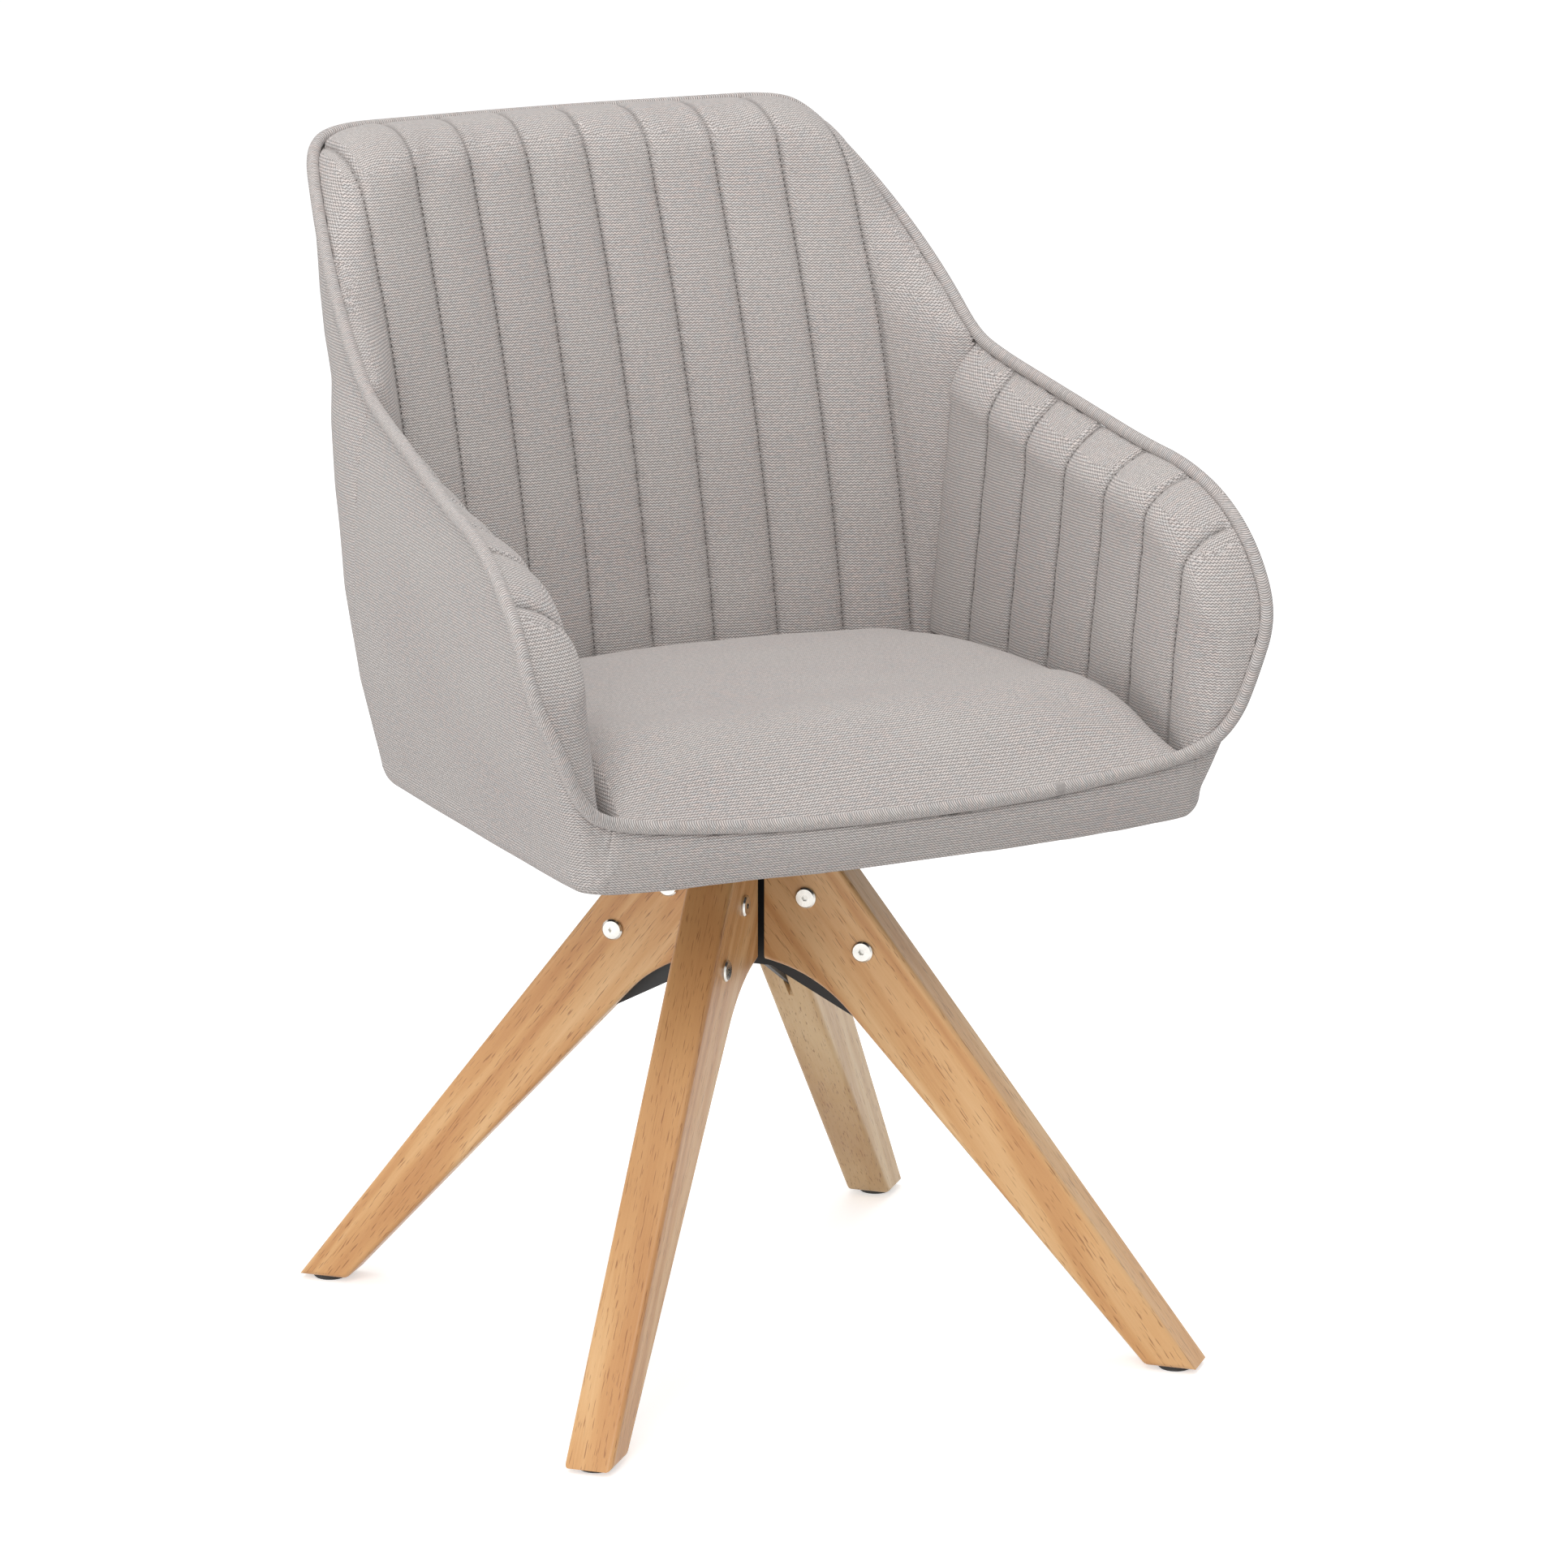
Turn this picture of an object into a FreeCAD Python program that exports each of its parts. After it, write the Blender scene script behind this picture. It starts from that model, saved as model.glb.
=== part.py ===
import FreeCAD, Part
import math
import os

import Sketcher

# Upholstered swivel dining chair: a tub seat with sewn channels on four wooden legs.
# Millimetres, +Z up, sitter facing -Y. The swivel axis is built at x = y = 0 and every part is then
# placed so that the origin is on the floor under the middle of the chair.

Vector = FreeCAD.Vector
UP = Vector(0, 0, 1)

SIZES = {
    # Wooden legs, as radius from the swivel axis and height above the floor
    "axis_lead": 33,  # the swivel axis stands this far in front of the middle of the chair
    "leg_thickness": 33,
    "leg_top": 350,
    "leg_top_reach": 66,
    "leg_hub_gap": 20,  # from the axis to the inner end of a leg
    "leg_hub_depth": 80,  # height of that inner end
    "leg_knee_reach": 58,
    "leg_knee_drop": 88,  # from the leg's top to the corner of its underside
    "leg_knee_radius": 105,
    "leg_edge_radius": 3.5,
    "foot_reach": 331,
    "foot_width": 36,
    "foot_corner": 6,
    "leg_hole_radius": 4.2,
    "upper_bolt_reach": 50,
    "upper_bolt_drop": 33,
    "lower_bolt_reach": 91,
    "lower_bolt_drop": 68,
    # Glides and their nails
    "glide_height": 4,
    "glide_radius": 12,
    "nail_radius": 1.4,
    "nail_length": 16,
    "nail_head_radius": 3.2,
    "nail_head_height": 1.2,
    # Joint bolts and sleeve nuts through the legs
    "head_radius": 7.5,
    "head_height": 2.6,
    "head_chamfer": 1.2,
    "socket_width": 4,
    "socket_depth": 2,
    "shank_radius": 3,
    "shank_length": 24,
    "sleeve_radius": 4,
    "sleeve_length": 20,
    # Steel cross bracket
    "tongue_thickness": 3,
    "tongue_clearance": 0.3,
    "tongue_reach": 112,
    "tongue_waist_reach": 48,
    "tongue_tip_drop": 84,
    "tongue_foot_reach": 105,
    "tongue_foot_drop": 133,
    "tongue_inner_drop": 88,
    "bracket_plate": 4,
    "plate_size": 152,
    "plate_hole_reach": 64,
    # Swivel: two pressed plates, a ball ring between them and a riveted pivot
    "swivel_height": 36,
    "swivel_sheet": 3,
    "dish_radius": 76,
    "dish_rim": 4,
    "race_outer": 67,
    "race_inner": 43,
    "race_rise": 12,
    "race_gap": 5,
    "race_radius": 55,
    "ball_radius": 4,
    "ball_count": 18,
    "running_clearance": 0.05,
    "cage_thickness": 1.6,
    "cage_width": 12,
    "cage_play": 0.1,
    "pivot_radius": 10,
    "pivot_tail_radius": 8,
    "pivot_collar": 14,
    "pivot_head": 17,
    "pivot_head_height": 3.5,
    "pivot_recess": 18,
    # Plate screws, washers and tee nuts
    "screw_radius": 3,
    "screw_head_radius": 5.5,
    "screw_head_height": 4,
    "screw_length": 11,
    "washer_radius": 7,
    "washer_thickness": 1.2,
    "nut_radius": 5.5,
    "nut_height": 5,
    "plate_screw_length": 13,
    "tee_barrel_radius": 4.2,
    "tee_barrel_length": 9.5,
    "tee_flange_radius": 9,
    "tee_flange_thickness": 1.5,
    # Seat board and dust cover
    "board_thickness": 12,
    "board_front": 222,
    "board_rear": 168,
    "board_front_half": 211,
    "board_side_half": 205,
    "board_side_depth": 88,
    "board_shoulder_half": 160,
    "board_shoulder_depth": 122,
    "board_rear_half": 84,
    "board_corner": 22,
    "dust_thickness": 1,
    "dust_inset": 4,
    "dust_hole": 88,
    # Tub: the seam between arm pad and back pad, and the rim that the piping follows.
    # A rise is a height above the seat board's underside.
    "seam_depth": 100,  # from the axis back to the seam
    "seam_gap": 2,
    "rim_seam_half": 231,
    "rim_seam_rise": 274,
    "arm_flare": 0.125,
    "arm_rise": 230,
    "arm_front": 246,
    "nose_length": 141,
    "nose_drop": 122,
    "arm_slope": 0.13,
    "corner_half": 190,
    "corner_depth": 286,
    "corner_rise": 417,
    "rim_bow": 0.114,
    "back_edge_depth": 322,
    "back_edge_rise": 424,
    "back_edge_radius": 515,
    "front_edge_depth": 256,
    "front_edge_bow": 14,
    "front_edge_rise": 38,
    "front_corner_half": 222,
    "front_corner_rise": 52,
    "front_corner_radius": 17,
    "piping_radius": 4.5,
    # Inner faces
    "seat_line_rise": 75,
    "back_face_depth": 141,
    "back_lean": 0.17,
    "back_curl": 0.00045,
    "back_plan_radius": 526,
    "back_pad_thickness": 28,
    "back_channel": 47,
    "back_channels": 8,
    "back_puff": 5,
    "roll_height": 28,
    "roll_depth": 36,
    "roll_inset": 34,
    "arm_face_half": 198,
    "arm_face_flare": 0.068,
    "arm_face_lean": 0.1,
    "arm_pad_thickness": 18,
    "arm_pad_foot": 65,
    "back_pad_foot": 26,
    "arm_channel": 50,
    "arm_channels": 7,
    "arm_puff": 3.5,
    "arm_roll": 36,
    # Outer covers
    "cover_thickness": 6,
    "wall_thickness": 67,
    "lip_inset": 12,
    "lip_rise": 20,
    "side_lower_half": 228,
    "side_lower_flare": 0.027,
    "side_bulge": 16,
    # Cushion
    "cushion_crown": 88,
    "cushion_front_rise": 36,
    "cushion_roll_length": 120,
    "cushion_rear_fall": 12,
    "cushion_shoulder": 26,
    "cushion_drawn": 26,
    "cushion_round": 0.14,
    "cushion_clearance": 1,
    # Tube frame inside the wall, its feet and their screws
    "tube_radius": 6,
    "tube_wall": 1.2,
    "rail_rise": 170,
    "top_rail_rise": 345,
    "upright_half": 60,
    "front_upright_depth": 170,
    "foot_plate_length": 34,
    "foot_plate_width": 16,
    "foot_plate_thickness": 2,
    "wood_screw_radius": 1.8,
    "wood_screw_length": 9,
}

ROW_SHIFT = "-Sizes.axis_lead"

os.makedirs("parts", exist_ok=True)
doc = FreeCAD.newDocument("SwivelDiningChair")
sheet = doc.addObject("Spreadsheet::Sheet", "Sizes")
for row, (alias, number) in enumerate(SIZES.items(), start=1):
    sheet.set(f"A{row}", alias)
    sheet.set(f"B{row}", str(number))
    sheet.setAlias(f"B{row}", alias)
doc.recompute()

nodes = []


def size(alias):
    """The number that the sheet holds under an alias."""
    return float(getattr(sheet, alias))


def keep(item, label):
    """Name a finished sub-part and put it in the row's frame."""
    item.Label = label
    item.setExpression("Placement.Base.y", ROW_SHIFT)
    nodes.append(item)
    return item


def plane(body, role):
    return [f for f in body.Origin.OriginFeatures if f.Role == role][0]


def new_sketch(body, name, role, lift=None):
    sketch = body.newObject("Sketcher::SketchObject", name)
    sketch.AttachmentSupport = [(plane(body, role), "")]
    sketch.MapMode = "FlatFace"
    if lift:
        sketch.setExpression("AttachmentOffset.Base.z", lift)
    return sketch


def bind(sketch, kind, element, point, expression):
    """Hold one coordinate of a sketch point, measured from the origin, at an expression."""
    index = sketch.addConstraint(Sketcher.Constraint(kind, -1, 1, element, point, 50.0))
    sketch.setExpression(f"Constraints[{index}]", expression)


def outline(body, name, role, corners, lift=None):
    """A closed polygon whose corners are pairs of expressions."""
    sketch = new_sketch(body, name, role, lift)
    count = len(corners)
    start = [
        Vector(100 * math.cos(2 * math.pi * k / count), 100 * math.sin(2 * math.pi * k / count), 0)
        for k in range(count)
    ]
    for k in range(count):
        sketch.addGeometry(Part.LineSegment(start[k], start[(k + 1) % count]), False)
    for k in range(count):
        sketch.addConstraint(Sketcher.Constraint("Coincident", k, 2, (k + 1) % count, 1))
    for k, (across, along) in enumerate(corners):
        bind(sketch, "DistanceX", k, 1, across)
        bind(sketch, "DistanceY", k, 1, along)
    return sketch


def circles(body, name, role, rounds, lift=None):
    """Circles given as expressions: centre across, centre along, radius."""
    sketch = new_sketch(body, name, role, lift)
    for k, (across, along, radius) in enumerate(rounds):
        sketch.addGeometry(Part.Circle(Vector(30 * k + 10, 20, 0), UP, 5), False)
        bind(sketch, "DistanceX", k, 3, across)
        bind(sketch, "DistanceY", k, 3, along)
        index = sketch.addConstraint(Sketcher.Constraint("Radius", k, 5.0))
        sketch.setExpression(f"Constraints[{index}]", radius)
    return sketch


def pad(body, sketch, length, symmetric=False):
    feature = body.newObject("PartDesign::Pad", sketch.Name + "_pad")
    feature.Profile = sketch
    feature.setExpression("Length", length)
    if symmetric:
        feature.SideType = "Symmetric"
    return feature


def pocket(body, sketch, length, symmetric=False, reverse=False):
    feature = body.newObject("PartDesign::Pocket", sketch.Name + "_pocket")
    feature.Profile = sketch
    feature.setExpression("Length", length)
    feature.Reversed = reverse
    if symmetric:
        feature.SideType = "Symmetric"
    return feature


def revolve(body, sketch, kind="PartDesign::Revolution"):
    """Turn a profile of radius and height about the body's vertical axis."""
    feature = body.newObject(kind, sketch.Name + "_turn")
    feature.Profile = sketch
    feature.ReferenceAxis = (sketch, ["V_Axis"])
    feature.Angle = 360
    return feature


def fillet(body, base, edges, radius):
    feature = body.newObject("PartDesign::Fillet", base.Name + "_round")
    feature.Base = (base, edges)
    feature.setExpression("Radius", radius)
    return feature


def edges_where(shape, test):
    return [f"Edge{k}" for k, edge in enumerate(shape.Edges, start=1) if test(edge)]


def mid(edge):
    return edge.valueAt((edge.FirstParameter + edge.LastParameter) / 2)


def turn_about_axis(body, degrees):
    body.Placement = FreeCAD.Placement(Vector(0, 0, 0), FreeCAD.Rotation(UP, degrees))


def solid_feature(label, shape):
    """A sub-part whose shape is worked out here from the sheet's sizes."""
    item = doc.addObject("Part::Feature", label)
    item.Shape = shape
    return keep(item, label)


def turned_blank(name, profile, socket=False):
    """A turned fastener along +Z, its head at the origin, for copies to be placed."""
    body = doc.addObject("PartDesign::Body", name)
    revolve(body, outline(body, name + "_profile", "XZ_Plane", profile))
    if socket:
        doc.recompute()
        corners = [
            (f"Sizes.socket_width / sqrt(3) * cos({60 * k})", f"Sizes.socket_width / sqrt(3) * sin({60 * k})")
            for k in range(6)
        ]
        hexagon = outline(body, name + "_socket", "XY_Plane", corners, "-Sizes.head_height")
        pocket(body, hexagon, "Sizes.socket_depth", reverse=True)
    doc.recompute()
    return body.Shape


def place_copies(label, blank, placements):
    """One node that holds identical loose pieces."""
    copies = []
    for placement in placements:
        copy = blank.copy()
        copy.Placement = placement
        copies.append(copy)
    return solid_feature(label, Part.makeCompound(copies))


# Legs


# Left and right are the sitter's.
LEG_TURNS = {
    "leg_front_right": 225,
    "leg_front_left": 315,
    "leg_rear_left": 45,
    "leg_rear_right": 135,
}
LEG_BOLTS = [
    ("Sizes.upper_bolt_reach", "Sizes.leg_top - Sizes.upper_bolt_drop"),
    ("Sizes.lower_bolt_reach", "Sizes.leg_top - Sizes.lower_bolt_drop"),
]


def make_leg(label, degrees):
    """A tapered board on edge: slotted at its hub end, drilled for two bolts and a nail."""
    body = doc.addObject("PartDesign::Body", label)
    profile = outline(
        body,
        label + "_profile",
        "XZ_Plane",
        [
            ("Sizes.leg_hub_gap", "Sizes.leg_top"),
            ("Sizes.leg_hub_gap", "Sizes.leg_top - Sizes.leg_hub_depth"),
            ("Sizes.leg_knee_reach", "Sizes.leg_top - Sizes.leg_knee_drop"),
            ("Sizes.foot_reach - Sizes.foot_width", "Sizes.glide_height"),
            ("Sizes.foot_reach", "Sizes.glide_height"),
            ("Sizes.leg_top_reach", "Sizes.leg_top"),
        ],
    )
    board = pad(body, profile, "Sizes.leg_thickness", symmetric=True)
    doc.recompute()

    def across_at(point):
        return lambda edge: abs(mid(edge).x - point.x) < 0.1 and abs(mid(edge).z - point.y) < 0.1

    knee = edges_where(board.Shape, across_at(profile.Geometry[2].StartPoint))
    curved = fillet(body, board, knee, "Sizes.leg_knee_radius")
    doc.recompute()
    heel = edges_where(curved.Shape, across_at(profile.Geometry[3].StartPoint))
    footed = fillet(body, curved, heel, "Sizes.foot_corner")
    doc.recompute()

    def long_edge(edge):
        middle = mid(edge)
        on_side = abs(abs(middle.y) - size("leg_thickness") / 2) < 0.01 and edge.BoundBox.YLength < 0.01
        below_top = middle.z < size("leg_top") - 0.1
        return on_side and below_top and middle.x > size("leg_hub_gap") + 0.1

    fillet(body, footed, edges_where(footed.Shape, long_edge), "Sizes.leg_edge_radius")
    slot = outline(
        body,
        label + "_slot",
        "XZ_Plane",
        [
            ("-1", "Sizes.leg_top + 1"),
            ("Sizes.tongue_waist_reach + 2", "Sizes.leg_top + 1"),
            ("Sizes.tongue_reach + 2", "Sizes.leg_top - Sizes.tongue_tip_drop"),
            ("Sizes.tongue_foot_reach + 2", "Sizes.leg_top - Sizes.tongue_foot_drop - 16"),
            ("-1", "Sizes.leg_top - Sizes.tongue_foot_drop - 16"),
        ],
    )
    pocket(body, slot, "Sizes.tongue_thickness + 2 * Sizes.tongue_clearance", symmetric=True)
    holes = circles(
        body,
        label + "_holes",
        "XZ_Plane",
        [(reach, height, "Sizes.leg_hole_radius") for reach, height in LEG_BOLTS],
    )
    pocket(body, holes, "Sizes.leg_thickness + 2", symmetric=True)
    nail = circles(
        body,
        label + "_nail_hole",
        "XY_Plane",
        [("Sizes.foot_reach - Sizes.foot_width / 2", "0", "Sizes.nail_radius")],
    )
    pocket(body, nail, "Sizes.glide_height + Sizes.nail_length", reverse=True)
    doc.recompute()
    turn_about_axis(body, degrees)
    return keep(body, label)


for leg_label, leg_turn in LEG_TURNS.items():
    make_leg(leg_label, leg_turn)


def leg_stations(reach, height, flip):
    """Placements on one side face of every leg, with local +Z pointing into the wood."""
    stations = []
    for degrees in LEG_TURNS.values():
        about = FreeCAD.Rotation(UP, degrees)
        side = 1 if flip else -1
        into = FreeCAD.Rotation(Vector(1, 0, 0), 90 * side)
        at = about.multVec(Vector(reach, side * size("leg_thickness") / 2, height))
        stations.append(FreeCAD.Placement(at, about.multiply(into)))
    return stations


def bolt_stations(flip):
    top = size("leg_top")
    upper = leg_stations(size("upper_bolt_reach"), top - size("upper_bolt_drop"), flip)
    lower = leg_stations(size("lower_bolt_reach"), top - size("lower_bolt_drop"), flip)
    return upper + lower


BUTTON_HEAD = [
    ("0", "-Sizes.head_height"),
    ("Sizes.head_radius - Sizes.head_chamfer", "-Sizes.head_height"),
    ("Sizes.head_radius", "-Sizes.head_height + Sizes.head_chamfer"),
    ("Sizes.head_radius", "0"),
]
joint_bolt = turned_blank(
    "joint_bolt",
    BUTTON_HEAD
    + [
        ("Sizes.shank_radius", "0"),
        ("Sizes.shank_radius", "Sizes.shank_length"),
        ("0", "Sizes.shank_length"),
    ],
    socket=True,
)
place_copies("leg_bolts", joint_bolt, bolt_stations(flip=False))

sleeve_nut = turned_blank(
    "sleeve_nut",
    BUTTON_HEAD
    + [
        ("Sizes.sleeve_radius", "0"),
        ("Sizes.sleeve_radius", "Sizes.sleeve_length"),
        ("Sizes.shank_radius", "Sizes.sleeve_length"),
        ("Sizes.shank_radius", "Sizes.leg_thickness - Sizes.shank_length - 1"),
        ("0", "Sizes.leg_thickness - Sizes.shank_length - 1"),
    ],
    socket=True,
)
place_copies("leg_sleeve_nuts", sleeve_nut, bolt_stations(flip=True))

GLIDE_RECESS = "Sizes.glide_height - Sizes.nail_head_height - 1.4"
glide = turned_blank(
    "glide",
    [
        ("Sizes.nail_head_radius", "0"),
        ("Sizes.glide_radius - 1", "0"),
        ("Sizes.glide_radius", "1"),
        ("Sizes.glide_radius", "Sizes.glide_height"),
        ("Sizes.nail_radius", "Sizes.glide_height"),
        ("Sizes.nail_radius", GLIDE_RECESS + " + Sizes.nail_head_height"),
        ("Sizes.nail_head_radius", GLIDE_RECESS + " + Sizes.nail_head_height"),
    ],
)
nail_blank = turned_blank(
    "glide_nail",
    [
        ("0", GLIDE_RECESS),
        ("Sizes.nail_head_radius", GLIDE_RECESS),
        ("Sizes.nail_head_radius", GLIDE_RECESS + " + Sizes.nail_head_height"),
        ("Sizes.nail_radius", GLIDE_RECESS + " + Sizes.nail_head_height"),
        ("Sizes.nail_radius", "Sizes.glide_height + Sizes.nail_length - 4"),
        ("0", "Sizes.glide_height + Sizes.nail_length - 2"),
    ],
)


def foot_stations():
    reach = size("foot_reach") - size("foot_width") / 2
    return [
        FreeCAD.Placement(FreeCAD.Rotation(UP, degrees).multVec(Vector(reach, 0, 0)), FreeCAD.Rotation(UP, degrees))
        for degrees in LEG_TURNS.values()
    ]


place_copies("foot_glides", glide, foot_stations())
place_copies("glide_nails", nail_blank, foot_stations())

# Cross bracket: two plates that cross on the axis under a square plate, turned to lie in the legs


def make_bracket():
    body = doc.addObject("PartDesign::Body", "cross_bracket")
    diagonal = "Sizes.plate_size / sqrt(2)"
    plate = outline(
        body,
        "bracket_plate_outline",
        "XY_Plane",
        [(diagonal, "0"), ("0", diagonal), ("-" + diagonal, "0"), ("0", "-" + diagonal)],
        "Sizes.leg_top",
    )
    pad(body, plate, "Sizes.bracket_plate")
    half = [
        ("Sizes.tongue_waist_reach", "Sizes.leg_top"),
        ("Sizes.tongue_reach", "Sizes.leg_top - Sizes.tongue_tip_drop"),
        ("Sizes.tongue_foot_reach", "Sizes.leg_top - Sizes.tongue_foot_drop"),
        ("Sizes.leg_hub_gap", "Sizes.leg_top - Sizes.tongue_inner_drop"),
    ]
    other = [("-" + reach, height) for reach, height in reversed(half)]
    for role in ("XZ_Plane", "YZ_Plane"):
        doc.recompute()
        tongues = outline(body, "tongues_" + role[:2], role, half + other)
        pad(body, tongues, "Sizes.tongue_thickness", symmetric=True)
        doc.recompute()
        holes = [(sign + reach, height, "Sizes.leg_hole_radius") for sign in ("", "-") for reach, height in LEG_BOLTS]
        drilled = circles(body, "tongue_holes_" + role[:2], role, holes)
        pocket(body, drilled, "Sizes.tongue_thickness + 1", symmetric=True)
    doc.recompute()
    reach = "Sizes.plate_hole_reach * sqrt(2)"
    rounds = [("0", "0", "Sizes.pivot_recess")]
    rounds += [(reach, "0", "Sizes.screw_radius"), ("-" + reach, "0", "Sizes.screw_radius")]
    rounds += [("0", reach, "Sizes.screw_radius"), ("0", "-" + reach, "Sizes.screw_radius")]
    plate_holes = circles(body, "bracket_plate_holes", "XY_Plane", rounds, "Sizes.leg_top + Sizes.bracket_plate")
    pocket(body, plate_holes, "Sizes.bracket_plate")
    doc.recompute()
    turn_about_axis(body, 45)
    return keep(body, "cross_bracket")


make_bracket()

# Swivel, from the bracket plate up to the seat board

PLATE_TOP = "Sizes.leg_top + Sizes.bracket_plate"
RACE_TOP = PLATE_TOP + " + Sizes.race_rise"
UPPER_RACE = RACE_TOP + " + Sizes.race_gap"
BALL_HEIGHT = RACE_TOP + " + Sizes.race_gap / 2"
BOARD_BASE = PLATE_TOP + " + Sizes.swivel_height"
FLANGE_CORNERS = [("1", "1"), ("-1", "1"), ("-1", "-1"), ("1", "-1")]


def make_swivel_plate(label, flange_base, dish):
    """A square flange and a pressed dish whose flat ring carries the ball groove."""
    body = doc.addObject("PartDesign::Body", label)
    half = "Sizes.plate_size / 2"
    corners = [(f"{x} * {half}", f"{y} * {half}") for x, y in FLANGE_CORNERS]
    pad(body, outline(body, label + "_flange", "XY_Plane", corners, flange_base), "Sizes.swivel_sheet")
    doc.recompute()
    holes = [(f"{x} * Sizes.plate_hole_reach", f"{y} * Sizes.plate_hole_reach", "Sizes.screw_radius")
             for x, y in FLANGE_CORNERS]
    holes.append(("0", "0", "Sizes.dish_radius - Sizes.dish_rim / 2"))
    drilled = circles(body, label + "_holes", "XY_Plane", holes, flange_base + " + Sizes.swivel_sheet")
    pocket(body, drilled, "Sizes.swivel_sheet")
    doc.recompute()
    revolve(body, outline(body, label + "_dish", "XZ_Plane", dish))
    doc.recompute()
    groove = circles(
        body,
        label + "_race",
        "XZ_Plane",
        [("Sizes.race_radius", BALL_HEIGHT, "Sizes.ball_radius + Sizes.running_clearance")],
    )
    revolve(body, groove, "PartDesign::Groove")
    doc.recompute()
    return keep(body, label)


SHEET = " + Sizes.swivel_sheet"
DISH_OUT = "Sizes.dish_radius"
DISH_IN = "Sizes.dish_radius - Sizes.dish_rim"
lower_dish = [
    (DISH_OUT, PLATE_TOP),
    (DISH_OUT, PLATE_TOP + SHEET),
    (DISH_IN, PLATE_TOP + SHEET),
    ("Sizes.race_outer", RACE_TOP),
    ("Sizes.race_inner", RACE_TOP),
    ("Sizes.race_inner - 5", PLATE_TOP + SHEET),
    ("Sizes.pivot_tail_radius", PLATE_TOP + SHEET),
    ("Sizes.pivot_tail_radius", PLATE_TOP),
    ("Sizes.race_inner - 3", PLATE_TOP),
    ("Sizes.race_inner + 2", RACE_TOP + " - Sizes.swivel_sheet"),
    ("Sizes.race_outer - 2", RACE_TOP + " - Sizes.swivel_sheet"),
    (DISH_IN + " - 2", PLATE_TOP),
]
make_swivel_plate("swivel_lower_plate", PLATE_TOP, lower_dish)

UPPER_BORE = "Sizes.pivot_radius + Sizes.running_clearance"
upper_dish = [
    (DISH_OUT, BOARD_BASE),
    (DISH_OUT, BOARD_BASE + " - Sizes.swivel_sheet"),
    (DISH_IN, BOARD_BASE + " - Sizes.swivel_sheet"),
    ("Sizes.race_outer", UPPER_RACE),
    (UPPER_BORE, UPPER_RACE),
    (UPPER_BORE, UPPER_RACE + SHEET),
    ("Sizes.race_outer - 2", UPPER_RACE + SHEET),
    (DISH_IN + " - 2", BOARD_BASE),
]
make_swivel_plate("swivel_upper_plate", BOARD_BASE + " - Sizes.swivel_sheet", upper_dish)


def make_pivot():
    """A shouldered rivet: tail through the lower plate, collar, journal and head over the upper plate."""
    body = doc.addObject("PartDesign::Body", "swivel_pivot")
    play = "Sizes.running_clearance"
    collar_top = f"{UPPER_RACE} - {play}"
    journal_top = f"{UPPER_RACE} + Sizes.swivel_sheet + {play}"
    profile = [
        ("0", "Sizes.leg_top + 0.5"),
        ("Sizes.pivot_collar", "Sizes.leg_top + 0.5"),
        ("Sizes.pivot_collar", PLATE_TOP),
        ("Sizes.pivot_tail_radius", PLATE_TOP),
        ("Sizes.pivot_tail_radius", PLATE_TOP + SHEET),
        ("Sizes.pivot_collar", PLATE_TOP + SHEET),
        ("Sizes.pivot_collar", collar_top),
        ("Sizes.pivot_radius", collar_top),
        ("Sizes.pivot_radius", journal_top),
        ("Sizes.pivot_head", journal_top),
        ("Sizes.pivot_head - 2", journal_top + " + Sizes.pivot_head_height"),
        ("0", journal_top + " + Sizes.pivot_head_height"),
    ]
    revolve(body, outline(body, "swivel_pivot_profile", "XZ_Plane", profile))
    doc.recompute()
    return keep(body, "swivel_pivot")


make_pivot()


def make_cage():
    body = doc.addObject("PartDesign::Body", "ball_cage")
    base = f"{BALL_HEIGHT} - Sizes.cage_thickness / 2"
    rounds = [
        ("0", "0", "Sizes.race_radius + Sizes.cage_width / 2"),
        ("0", "0", "Sizes.race_radius - Sizes.cage_width / 2"),
    ]
    pad(body, circles(body, "cage_ring", "XY_Plane", rounds, base), "Sizes.cage_thickness")
    doc.recompute()
    window = circles(
        body,
        "cage_window",
        "XY_Plane",
        [("Sizes.race_radius", "0", "Sizes.ball_radius + Sizes.cage_play")],
        f"{BALL_HEIGHT} + Sizes.cage_thickness / 2",
    )
    cut = pocket(body, window, "Sizes.cage_thickness")
    doc.recompute()
    pattern = body.newObject("PartDesign::PolarPattern", "cage_windows")
    pattern.Originals = [cut]
    pattern.Angle = 360
    pattern.setExpression("Occurrences", "Sizes.ball_count")
    axis = [f for f in body.Origin.OriginFeatures if f.Role == "Z_Axis"][0]
    pattern.Axis = (axis, [""])
    body.Tip = pattern
    doc.recompute()
    return keep(body, "ball_cage")


make_cage()

ball = doc.addObject("Part::Sphere", "ball")
ball.setExpression("Radius", "Sizes.ball_radius")
doc.recompute()
plate_top = size("leg_top") + size("bracket_plate")
board_base = plate_top + size("swivel_height")
ball_height = plate_top + size("race_rise") + size("race_gap") / 2
ball_stations = []
for k in range(int(size("ball_count"))):
    step = FreeCAD.Rotation(UP, 360 * k / size("ball_count"))
    ball_stations.append(FreeCAD.Placement(step.multVec(Vector(size("race_radius"), 0, ball_height)), step))
place_copies("swivel_balls", ball.Shape, ball_stations)

# Plate screws, nuts, washers and tee nuts


def plate_stations(height):
    reach = size("plate_hole_reach")
    return [
        FreeCAD.Placement(Vector(x * reach, y * reach, height), FreeCAD.Rotation())
        for x in (-1, 1)
        for y in (-1, 1)
    ]


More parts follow.
